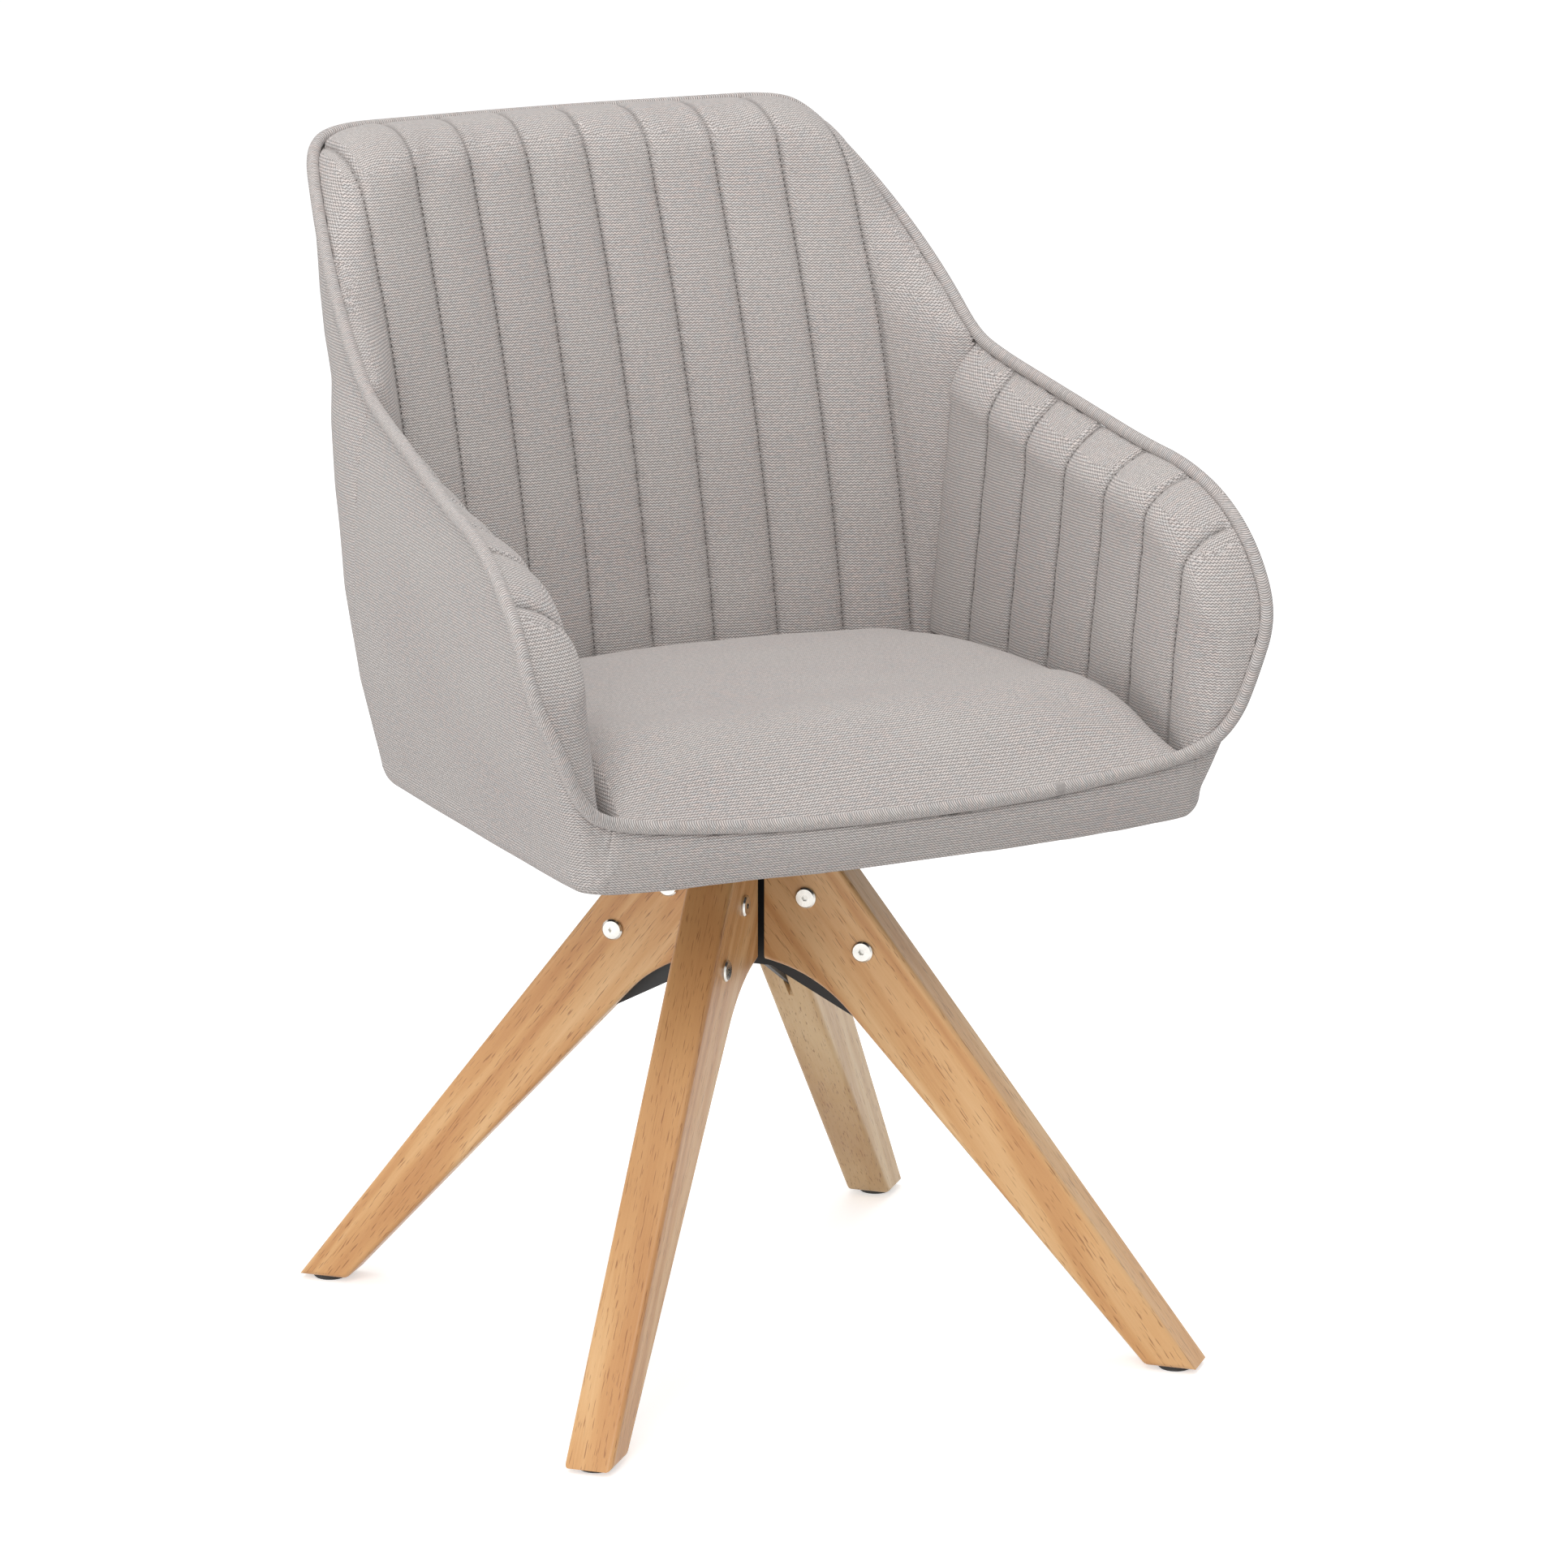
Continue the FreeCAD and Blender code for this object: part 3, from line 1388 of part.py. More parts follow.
def behind_pad(across, z):
    """The middle of the space between the back pad and the back cover."""
    inner = back_face(across, z) + size("back_pad_thickness")
    outer = back_outline(z, COVER)[3].y - across**2 / (2 * (300 + 0.62 * (z - SEAT_LINE)))
    return Vector(across, (inner + outer) / 2, z)


def beside_pad(y, z):
    """The middle of the space between an arm pad and its side cover."""
    return Vector((arm_face(y, z) + size("arm_pad_thickness") + side_outer(y, z) - COVER) / 2, y, z)


def rail_points():
    """The lower hoop: up from a front foot, back along the arm and round behind the sitter."""
    z = board_base + size("rail_rise")
    foot = board_top - size("foot_plate_thickness")
    front = -size("front_upright_depth")
    inner = size("board_front_half") - size("tube_radius")
    knee = board_base + size("arm_pad_foot") + 22
    corner = back_outline(z, COVER + size("tube_radius") + 2)
    return [
        Vector(inner, front, foot),
        beside_pad(front, knee),
        beside_pad(front + 1, z - 22),
        beside_pad(front + 40, z),
        beside_pad(-20, z + 1),
        beside_pad(SEAM - 12, z),
        corner[1],
        corner[2],
        behind_pad(size("upright_half") + 30, z),
        behind_pad(size("upright_half") / 2, z - 1),
    ]


def upright_points():
    x = size("upright_half")
    foot = board_top - size("foot_plate_thickness")
    rear_foot = size("board_rear") - size("foot_plate_width") / 2 - 2
    rail = board_base + size("rail_rise")
    top = board_base + size("top_rail_rise")
    return [
        Vector(x, rear_foot, foot),
        behind_pad(x, SEAT_LINE),
        behind_pad(x + 2, rail),
        behind_pad(x + 4, (rail + top) / 2),
        behind_pad(x, top - 14),
        behind_pad(x - 26, top),
    ]


def foot_plate(across, along):
    length = size("foot_plate_length")
    width = size("foot_plate_width")
    corner = Vector(across - length / 2, along - width / 2, board_top)
    plate = Part.makeBox(length, width, size("foot_plate_thickness"), corner)
    for side in (-1, 1):
        spot = Vector(across + side * 0.36 * length, along, board_top - 1)
        plate = plate.cut(Part.makeCylinder(size("wood_screw_radius"), 9, spot))
    return plate


def make_frame():
    rail = rail_points()
    uprights = upright_points()
    frame = hollow_tube(rail + [flip(point) for point in reversed(rail)])
    frame = frame.fuse(hollow_tube(uprights + [flip(point) for point in reversed(uprights)]))
    front = size("board_front_half") - size("foot_plate_length") / 2 - 1
    rear = size("board_rear") - size("foot_plate_width") / 2 - 2
    for across, along in ((front, -size("front_upright_depth")), (size("upright_half"), rear)):
        plate = foot_plate(across, along)
        frame = frame.fuse(plate).fuse(mirrored(plate))
    span = 2 * size("board_front_half")
    below = Part.makeBox(2 * span, 2 * span, size("board_thickness"), Vector(-span, -span, board_base))
    return frame.cut(below)


solid_feature("tub_frame", make_frame())

wood_screw = Part.makeCylinder(
    size("wood_screw_radius"), size("wood_screw_length") + size("foot_plate_thickness"), Vector(0, 0, 0), UP
)
screw_base = board_top - size("wood_screw_length")
screw_stations = []
for across, along in (
    (size("board_front_half") - size("foot_plate_length") / 2 - 1, -size("front_upright_depth")),
    (size("upright_half"), size("board_rear") - size("foot_plate_width") / 2 - 2),
):
    for side in (1, -1):
        for shift in (0.36, -0.36):
            x = side * (across + shift * size("foot_plate_length"))
            screw_stations.append(FreeCAD.Placement(Vector(x, along, screw_base), FreeCAD.Rotation()))
place_copies("frame_screws", wood_screw, screw_stations)

doc.recompute()
for item in doc.Objects:
    state = [s for s in item.State if s in ("Invalid", "Error")]
    if state:
        raise RuntimeError(f"{item.Label}: {state}")
for node in nodes:
    if node.Shape.isNull() or not node.Shape.isValid():
        raise RuntimeError(f"{node.Label} has no valid shape")
    node.Shape.exportStep(f"parts/{node.Label}.step")
    print(node.Label, round(node.Shape.Volume / 1000, 2), "cm3", len(node.Shape.Solids), "solids")
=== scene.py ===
"""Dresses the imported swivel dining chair: a timber base, a steel swivel and an upholstered tub seat."""

import logging
import math
from dataclasses import dataclass
from enum import Enum
from typing import Callable, Optional, Sequence

import bmesh
import bpy
import numpy as np
from mathutils import Matrix, Vector, noise
from mathutils.bvhtree import BVHTree
from mathutils.kdtree import KDTree


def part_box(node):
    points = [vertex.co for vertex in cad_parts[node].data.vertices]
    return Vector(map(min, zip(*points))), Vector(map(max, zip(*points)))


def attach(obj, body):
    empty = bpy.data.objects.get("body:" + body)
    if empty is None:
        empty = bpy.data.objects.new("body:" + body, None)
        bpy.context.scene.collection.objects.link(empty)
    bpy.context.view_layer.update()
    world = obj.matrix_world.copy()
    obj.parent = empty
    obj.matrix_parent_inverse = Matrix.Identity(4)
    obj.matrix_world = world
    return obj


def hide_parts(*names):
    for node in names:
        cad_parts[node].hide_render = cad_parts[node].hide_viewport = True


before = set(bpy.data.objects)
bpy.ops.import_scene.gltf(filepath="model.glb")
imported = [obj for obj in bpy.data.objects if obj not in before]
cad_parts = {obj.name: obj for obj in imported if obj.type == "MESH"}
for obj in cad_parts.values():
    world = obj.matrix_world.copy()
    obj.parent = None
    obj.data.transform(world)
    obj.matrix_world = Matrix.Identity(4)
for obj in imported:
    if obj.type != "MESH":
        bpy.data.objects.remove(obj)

log = logging.getLogger("chair")
MM = 0.001
# The swivel axis lies this many millimetres in front of the row's origin.
AXIS_LEAD = 33.0
# Points of a CAD mesh closer together than this, in metres, are one point.
WELD = 0.01 * MM
Colour = tuple[float, float, float]
Placed = tuple[float, float, float]
Span = tuple[float, float]
Socket = bpy.types.NodeSocket
Piece = bpy.types.Object


def row_place(x: float, y: float, z: float) -> Vector:
    """Turn a place measured from the swivel axis, in millimetres, into the row frame in metres."""
    return Vector((x, y - AXIS_LEAD, z)) * MM


def tint(red: int, green: int, blue: int) -> Colour:
    """Turn a screen colour into the linear colour that a shader takes."""
    parts = [channel / 255 for channel in (red, green, blue)]
    return tuple(part / 12.92 if part <= 0.04045 else ((part + 0.055) / 1.055) ** 2.4 for part in parts)


def ease(value: float, low: float, high: float) -> float:
    """Rise smoothly from 0 at low to 1 at high, or fall where high is below low."""
    share = min(1.0, max(0.0, (value - low) / (high - low)))
    return share * share * (3 - 2 * share)


def welded(node: str) -> bmesh.types.BMesh:
    """Copy a CAD node's shape, with its loose triangles joined.

    Args:
        node: The CAD node.

    Returns:
        The shape.
    """
    shape = bmesh.new()
    shape.from_mesh(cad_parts[node].data)
    bmesh.ops.remove_doubles(shape, verts=shape.verts, dist=WELD)
    return shape


def baked(name: str, shape: bmesh.types.BMesh) -> bpy.types.Mesh:
    """Turn a shape into a mesh, and free the shape.

    Args:
        name: The mesh's name.
        shape: The shape.

    Returns:
        The mesh.
    """
    mesh = bpy.data.meshes.new(name)
    shape.to_mesh(mesh)
    shape.free()
    return mesh


def linked(name: str, data: bpy.types.ID) -> Piece:
    """Put data into the scene as an object.

    Args:
        name: The object's name.
        data: Its mesh, curve, lamp or camera.

    Returns:
        The object.
    """
    made = bpy.data.objects.new(name, data)
    bpy.context.scene.collection.objects.link(made)
    return made


def surfaced(mesh: bpy.types.Mesh, finish: bpy.types.Material) -> None:
    """Give a mesh one finish and smooth shading.

    Args:
        mesh: The mesh.
        finish: Its material.
    """
    mesh.materials.clear()
    mesh.materials.append(finish)
    mesh.polygons.foreach_set("use_smooth", [True] * len(mesh.polygons))


class Graph:
    """A tree of shader nodes, with short ways to add and join them."""

    def __init__(self, tree: bpy.types.NodeTree) -> None:
        """Keep the tree."""
        self.tree = tree

    def node(self, kind: str, inputs: Optional[dict] = None, **settings: object) -> bpy.types.Node:
        """Add one node.

        Args:
            kind: The node's type, without its ShaderNode prefix.
            inputs: Values or sockets for its inputs, by name or index.
            settings: Properties to set on the node.

        Returns:
            The new node.
        """
        made = self.tree.nodes.new("ShaderNode" + kind)
        for key, value in settings.items():
            setattr(made, key, value)
        for key, value in (inputs or {}).items():
            self.feed(made.inputs[key], value)
        return made

    def feed(self, socket: Socket, value: object) -> None:
        """Join a socket to an input, or set the input to a constant.

        Args:
            socket: The input.
            value: A socket, a number, a vector or a colour.
        """
        if isinstance(value, Socket):
            self.tree.links.new(value, socket)
        elif socket.type == "RGBA":
            socket.default_value = (*value, 1.0)
        else:
            socket.default_value = value

    def sum(self, operation: str, first: object, second: object) -> Socket:
        """Combine two numbers by a Math node's operation."""
        return self.node("Math", {0: first, 1: second}, operation=operation).outputs[0]

    def seen(self) -> Socket:
        """Give 1 to rays by which the camera sees, straight, mirrored or passed on, and 0 to others.

        Returns:
            The value's socket.
        """
        rays = self.node("LightPath").outputs
        direct = self.sum("MAXIMUM", rays["Is Camera Ray"], rays["Is Glossy Ray"])
        return self.sum("MAXIMUM", direct, rays["Is Transmission Ray"])


class Recipe(Graph):
    """A material's nodes."""

    def __init__(self, name: str) -> None:
        """Start a material with its shader.

        Args:
            name: The material's name.
        """
        self.material = bpy.data.materials.new(name)
        self.material.use_nodes = True
        super().__init__(self.material.node_tree)
        self.shader = self.tree.nodes["Principled BSDF"]

    def solid_place(self) -> Socket:
        """Give the place in the object's own metres."""
        return self.node("TexCoord").outputs["Object"]

    def stretch(self, place: Socket, factors: Placed) -> Socket:
        """Scale a place along its axes."""
        return self.node("VectorMath", {0: place, 1: factors}, operation="MULTIPLY").outputs[0]

    def cloud(self, place: Socket, scale: float, detail: float,
              warp: float = 0.0) -> Socket:
        """Give soft random values around 0.5, in patches per metre, with octaves of detail."""
        inputs = {"Vector": place, "Scale": scale, "Detail": detail, "Distortion": warp}
        return self.node("TexNoise", inputs).outputs["Fac"]

    def spread(self, value: Socket, low: float, high: float, start: float = 0.0,
               end: float = 1.0) -> Socket:
        """Map values from low..high onto start..end, held at both ends."""
        return self.node("MapRange", {0: value, 1: low, 2: high, 3: start, 4: end}).outputs[0]

    def blend(self, share: object, first: object, second: object) -> Socket:
        """Mix two colours.

        Args:
            share: How much of the second shows.
            first: First colour or socket.
            second: Second colour or socket.

        Returns:
            The mixed colour's socket.
        """
        made = self.node("Mix", data_type="RGBA")
        self.feed(made.inputs["Factor"], share)
        colours = [socket for socket in made.inputs if socket.type == "RGBA"]
        self.feed(colours[0], first)
        self.feed(colours[1], second)
        return next(socket for socket in made.outputs if socket.type == "RGBA")

    def raise_surface(self, height: Socket, distance: float, strength: float) -> None:
        """Let a height from 0 to 1 shade the surface as relief, a distance in metres at 1."""
        made = self.node("Bump", {"Height": height, "Distance": distance, "Strength": strength})
        self.feed(self.shader.inputs["Normal"], made.outputs[0])

    def dress(self, **values: object) -> bpy.types.Material:
        """Set the shader's inputs by name, with _ for a space, and give the material.

        Args:
            values: Constants or sockets.

        Returns:
            The finished material.
        """
        for key, value in values.items():
            self.feed(self.shader.inputs[key.replace("_", " ").title().replace("Ior", "IOR")], value)
        return self.material


class Weave(Enum):
    """How the upholstery cloth lies on a piece."""

    PANEL = "panel"
    PIPING = "piping"


@dataclass(frozen=True)
class UpholsteryCloth:
    """Warm grey knitted cloth with zigzag rows, mixed yarns and a soft nap, its colour darkened in the seam
    valleys as painted shade.
    """

    weave: Weave = Weave.PANEL
    yarn: Colour = tint(222, 216, 212)
    cool_yarn: Colour = tint(202, 201, 202)
    rosy_yarn: Colour = tint(228, 211, 205)
    gap: Colour = tint(104, 99, 96)
    row: float = 1.9 * MM
    zigzag: float = 2.2 * MM
    panel_climb: float = 0.9
    piping_climb: float = 1.1
    slubs: Placed = (420.0, 900.0, 1.0)
    flecks: Placed = (110.0, 520.0, 1.0)
    patches: Placed = (9.0, 16.0, 1.0)
    gap_share: float = 0.85
    # Share of the gap colour painted into the seam valleys as shade.
    seam_shade_share: float = 0.5
    relief: float = 0.35 * MM

    def material(self) -> bpy.types.Material:
        """Build the material.

        Returns:
            Cloth that follows the piece's own weave map.
        """
        recipe = Recipe(f"cloth_{self.weave.value}")
        lay = recipe.node("UVMap", uv_map="weave").outputs[0]
        parts = recipe.node("SeparateXYZ", {0: lay})
        swing = recipe.sum("PINGPONG", parts.outputs[0], self.zigzag / 2)
        steep = self.panel_climb if self.weave is Weave.PANEL else self.piping_climb
        climb = recipe.sum("ADD", parts.outputs[1], recipe.sum("MULTIPLY", swing, steep))
        row = recipe.sum("PINGPONG", recipe.sum("DIVIDE", climb, self.row), 0.5)
        thread = recipe.spread(row, 0.06, 0.34)
        slub = recipe.cloud(recipe.stretch(lay, self.slubs), 1.0, 1.0)
        broken = recipe.sum("MULTIPLY", thread, recipe.spread(slub, 0.3, 0.6, 0.55, 1.0))
        fleck = recipe.cloud(recipe.stretch(lay, self.flecks), 1.0, 2.0)
        patch = recipe.cloud(recipe.stretch(lay, self.patches), 1.0, 3.0)
        mixed = recipe.blend(recipe.spread(fleck, 0.36, 0.64), self.cool_yarn, self.rosy_yarn)
        yarn = recipe.blend(recipe.spread(patch, 0.3, 0.7, 0.25, 0.75), mixed, self.yarn)
        open_share = recipe.sum("MULTIPLY", recipe.sum("SUBTRACT", 1.0, broken), self.gap_share)
        woven = recipe.blend(open_share, yarn, self.gap)
        # Painted shade: a per-point attribute darkens the seam valleys toward the gap colour.
        seam_shade = recipe.node("Attribute", attribute_name="seam_shade").outputs["Fac"]
        colour = recipe.blend(recipe.sum("MULTIPLY", seam_shade, self.seam_shade_share), woven, self.gap)
        recipe.raise_surface(broken, self.relief, 0.55)
        return recipe.dress(base_color=colour, roughness=0.92, sheen_weight=0.12, sheen_roughness=0.5,
                            specular_ior_level=0.2)


@dataclass(frozen=True)
class SewingThread:
    """Twisted grey sewing thread."""

    colour: Colour = tint(112, 106, 103)
    shaded: Colour = tint(84, 79, 77)
    twist: Placed = (2200.0, 2200.0, 2200.0)
    relief: float = 0.1 * MM

    def material(self) -> bpy.types.Material:
        """Build the material.

        Returns:
            Thread with a fine twist.
        """
        recipe = Recipe("sewing_thread")
        place = recipe.solid_place()
        ply = recipe.cloud(recipe.stretch(place, self.twist), 1.0, 1.0)
        shade = recipe.blend(recipe.spread(ply, 0.35, 0.65), self.colour, self.shaded)
        recipe.raise_surface(ply, self.relief, 0.4)
        return recipe.dress(base_color=shade, roughness=0.7, specular_ior_level=0.3)


@dataclass(frozen=True)
class LacqueredTimber:
    """Rubberwood under clear lacquer, its grain along the leg."""

    name: str
    heading: float
    lean: float
    pale: Colour = tint(232, 190, 138)
    honey: Colour = tint(216, 164, 108)
    toasted: Colour = tint(196, 138, 84)
    pore: Colour = tint(146, 92, 50)
    shift: float = 0.0
    shift_shares: Placed = (1.0, 1.7, 0.6)
    bands: Placed = (2.2, 26.0, 18.0)
    rings: Placed = (0.09, 1.0, 0.6)
    fibres: Placed = (22.0, 620.0, 620.0)
    pores: Placed = (75.0, 1150.0, 1150.0)
    relief: float = 0.12 * MM

    def turned(self) -> Matrix:
        """Give the turn that lays the grain along the first axis."""
        around, down = math.radians(self.heading), math.radians(self.lean)
        level = math.sin(down)
        grain = Vector((level * math.cos(around), level * math.sin(around), -math.cos(down)))
        face = Vector((-math.sin(around), math.cos(around), 0.0))
        return Matrix((grain, face.cross(grain), face))

    def material(self) -> bpy.types.Material:
        """Build the material.

        Returns:
            Timber with growth bands, fibres and short dark pores.
        """
        recipe = Recipe(self.name)
        place = recipe.solid_place()
        moved = tuple(self.shift * share for share in self.shift_shares)
        laid = recipe.node("Mapping", {"Vector": place, "Rotation": self.turned().to_euler(),
                                       "Location": moved}).outputs[0]
        broad = recipe.cloud(recipe.stretch(laid, self.bands), 1.0, 2.5, 0.5)
        rings = recipe.node("TexWave", {"Vector": recipe.stretch(laid, self.rings), "Scale": 15.0,
                                        "Distortion": 7.0, "Detail": 2.0, "Detail Scale": 2.2},
                            bands_direction="Y").outputs["Fac"]
        fibre = recipe.cloud(recipe.stretch(laid, self.fibres), 1.0, 2.0)
        tone = recipe.sum("ADD", recipe.sum("MULTIPLY", broad, 0.72), recipe.sum("MULTIPLY", rings, 0.2))
        tone = recipe.sum("ADD", tone, recipe.sum("MULTIPLY", fibre, 0.16))
        light = recipe.blend(recipe.spread(tone, 0.34, 0.56), self.pale, self.honey)
        ground = recipe.blend(recipe.spread(tone, 0.52, 0.78), light, self.toasted)
        specks = recipe.cloud(recipe.stretch(laid, self.pores), 1.0, 1.0)
        gathered = recipe.sum("ADD", specks, recipe.sum("MULTIPLY", broad, 0.12))
        pores = recipe.spread(gathered, 0.69, 0.76)
        colour = recipe.blend(recipe.sum("MULTIPLY", pores, 0.7), ground, self.pore)
        recipe.raise_surface(recipe.sum("SUBTRACT", fibre, pores), self.relief, 0.35)
        gloss = recipe.spread(fibre, 0.3, 0.7, 0.36, 0.5)
        return recipe.dress(base_color=colour, roughness=gloss, coat_weight=0.18, coat_roughness=0.22)


@dataclass(frozen=True)
class PowderCoat:
    """Black powder coat with a fine orange-peel skin."""

    colour: Colour = tint(24, 24, 25)
    dusted: Colour = tint(40, 40, 41)
    relief: float = 0.12 * MM

    def material(self) -> bpy.types.Material:
        """Build the material.

        Returns:
            Satin black with worn, slightly lighter high spots.
        """
        recipe = Recipe("powder_coat")
        place = recipe.solid_place()
        peel = recipe.cloud(place, 900.0, 2.0)
        dusty = recipe.cloud(place, 22.0, 4.0)
        shade = recipe.blend(recipe.spread(dusty, 0.45, 0.75), self.colour, self.dusted)
        recipe.raise_surface(peel, self.relief, 0.35)
        return recipe.dress(base_color=shade, roughness=recipe.spread(dusty, 0.3, 0.7, 0.4, 0.55))


class SteelKind(Enum):
    """Steels of the chair's fittings."""

    BRIGHT = "bright_steel"
    PLAIN = "plain_steel"


@dataclass(frozen=True)
class Steel:
    """Zinc plated or plain steel with fine turning marks."""

    kind: SteelKind
    marks: Placed = (900.0, 900.0, 140.0)
    relief: float = 0.03 * MM

    def material(self) -> bpy.types.Material:
        """Build the material.

        Returns:
            Metal with uneven gloss.
        """
        recipe = Recipe(self.kind.value)
        place = recipe.solid_place()
        marks = recipe.cloud(recipe.stretch(place, self.marks), 1.0, 2.0)
        film = recipe.cloud(place, 60.0, 3.0)
        new, dull, low, high = tint(226, 224, 218), tint(196, 194, 188), 0.14, 0.26
        if self.kind is SteelKind.PLAIN:
            new, dull, low, high = tint(176, 174, 170), tint(138, 136, 132), 0.3, 0.45
        shade = recipe.blend(recipe.spread(film, 0.35, 0.7), new, dull)
        recipe.raise_surface(marks, self.relief, 0.3)
        gloss = recipe.spread(film, 0.3, 0.7, low, high)
        return recipe.dress(base_color=shade, metallic=1.0, roughness=gloss)


@dataclass(frozen=True)
class GlideNylon:
    """Dark nylon of the foot glides, scuffed underneath."""

    colour: Colour = tint(38, 36, 35)
    scuffed: Colour = tint(78, 75, 72)
    scuffs: Placed = (1400.0, 500.0, 900.0)
    relief: float = 0.08 * MM

    def material(self) -> bpy.types.Material:
        """Build the material.

        Returns:
            Matt nylon.
        """
        recipe = Recipe("glide_nylon")
        place = recipe.solid_place()
        scuff = recipe.cloud(recipe.stretch(place, self.scuffs), 1.0, 3.0)
        shade = recipe.blend(recipe.spread(scuff, 0.5, 0.75), self.colour, self.scuffed)
        recipe.raise_surface(scuff, self.relief, 0.4)
        return recipe.dress(base_color=shade, roughness=recipe.spread(scuff, 0.3, 0.7, 0.45, 0.65))


@dataclass(frozen=True)
class BirchPly:
    """Birch plywood: thin plies at the edge, pale veneer on the faces."""

    ply: float = 1.5 * MM
    glue_line: Span = (0.6 * MM, 0.9 * MM)
    grain: Placed = (260.0, 9.0, 400.0)
    pale: Colour = tint(222, 196, 156)
    warm: Colour = tint(200, 168, 124)
    edge: Colour = tint(150, 112, 74)
    relief: float = 0.1 * MM

    def material(self) -> bpy.types.Material:
        """Build the material.

        Returns:
            Layered plywood.
        """
        recipe = Recipe("birch_ply")
        place = recipe.solid_place()
        height = recipe.node("SeparateXYZ", {0: place}).outputs[2]
        layer = recipe.spread(recipe.sum("PINGPONG", height, self.ply), *self.glue_line)
        grain = recipe.cloud(recipe.stretch(place, self.grain), 1.0, 3.0)
        veneer = recipe.blend(recipe.spread(grain, 0.35, 0.65), self.pale, self.warm)
        shade = recipe.blend(recipe.sum("MULTIPLY", layer, 0.35), veneer, self.edge)
        recipe.raise_surface(grain, self.relief, 0.3)
        return recipe.dress(base_color=shade, roughness=0.7)


@dataclass(frozen=True)
class DustCloth:
    """Black spun cloth under the seat, with its embossed dots."""

    pitch: float = 2.4 * MM
    dark: Colour = tint(26, 26, 27)
    pale: Colour = tint(52, 52, 53)
    dotted: Colour = tint(18, 18, 19)
    relief: float = 0.15 * MM

    def material(self) -> bpy.types.Material:
        """Build the material.

        Returns:
            Thin black felt-like cloth.
        """
        recipe = Recipe("dust_cloth")
        place = recipe.solid_place()
        parts = recipe.node("SeparateXYZ", {0: place})
        across = recipe.sum("PINGPONG", parts.outputs[0], self.pitch / 2)
        along = recipe.sum("PINGPONG", parts.outputs[1], self.pitch / 2)
        dot = recipe.spread(recipe.sum("ADD", across, along), 0.4 * self.pitch, 0.65 * self.pitch)
        fibre = recipe.cloud(place, 700.0, 3.0)
        ground = recipe.blend(recipe.spread(fibre, 0.35, 0.7), self.dark, self.pale)
        shade = recipe.blend(recipe.sum("MULTIPLY", dot, 0.4), ground, self.dotted)
        recipe.raise_surface(recipe.sum("SUBTRACT", fibre, dot), self.relief, 0.4)
        return recipe.dress(base_color=shade, roughness=0.85)


@dataclass(frozen=True)
class Channels:
    """Straight seams that divide a pad into channels."""

    axis: int
    first: float
    pitch: float
    count: int
    groove: float
    shown: Callable[[Vector, Vector], bool]
    width: float = 5.5 * MM
    # Painted seam shade begins this far from a seam and is full this close to it.
    dark: float = 2.6 * MM
    darkest: float = 0.4 * MM
    snap: float = 1.0 * MM
    sewn_half: float = 2.4 * MM

    def gap(self, place: Vector) -> float:
        """Give the distance to the nearest seam, with its sign."""
        number = max(0, min(self.count - 1, round((place[self.axis] - self.first) / self.pitch)))
        return place[self.axis] - self.first - number * self.pitch

    def sewn(self, place: Vector) -> bool:
        """Tell whether a place is held by a seam."""
        return abs(self.gap(place)) < self.sewn_half

    def places(self) -> list[float]:
        """List where the seams cross their axis."""
        return [self.first + number * self.pitch for number in range(self.count)]


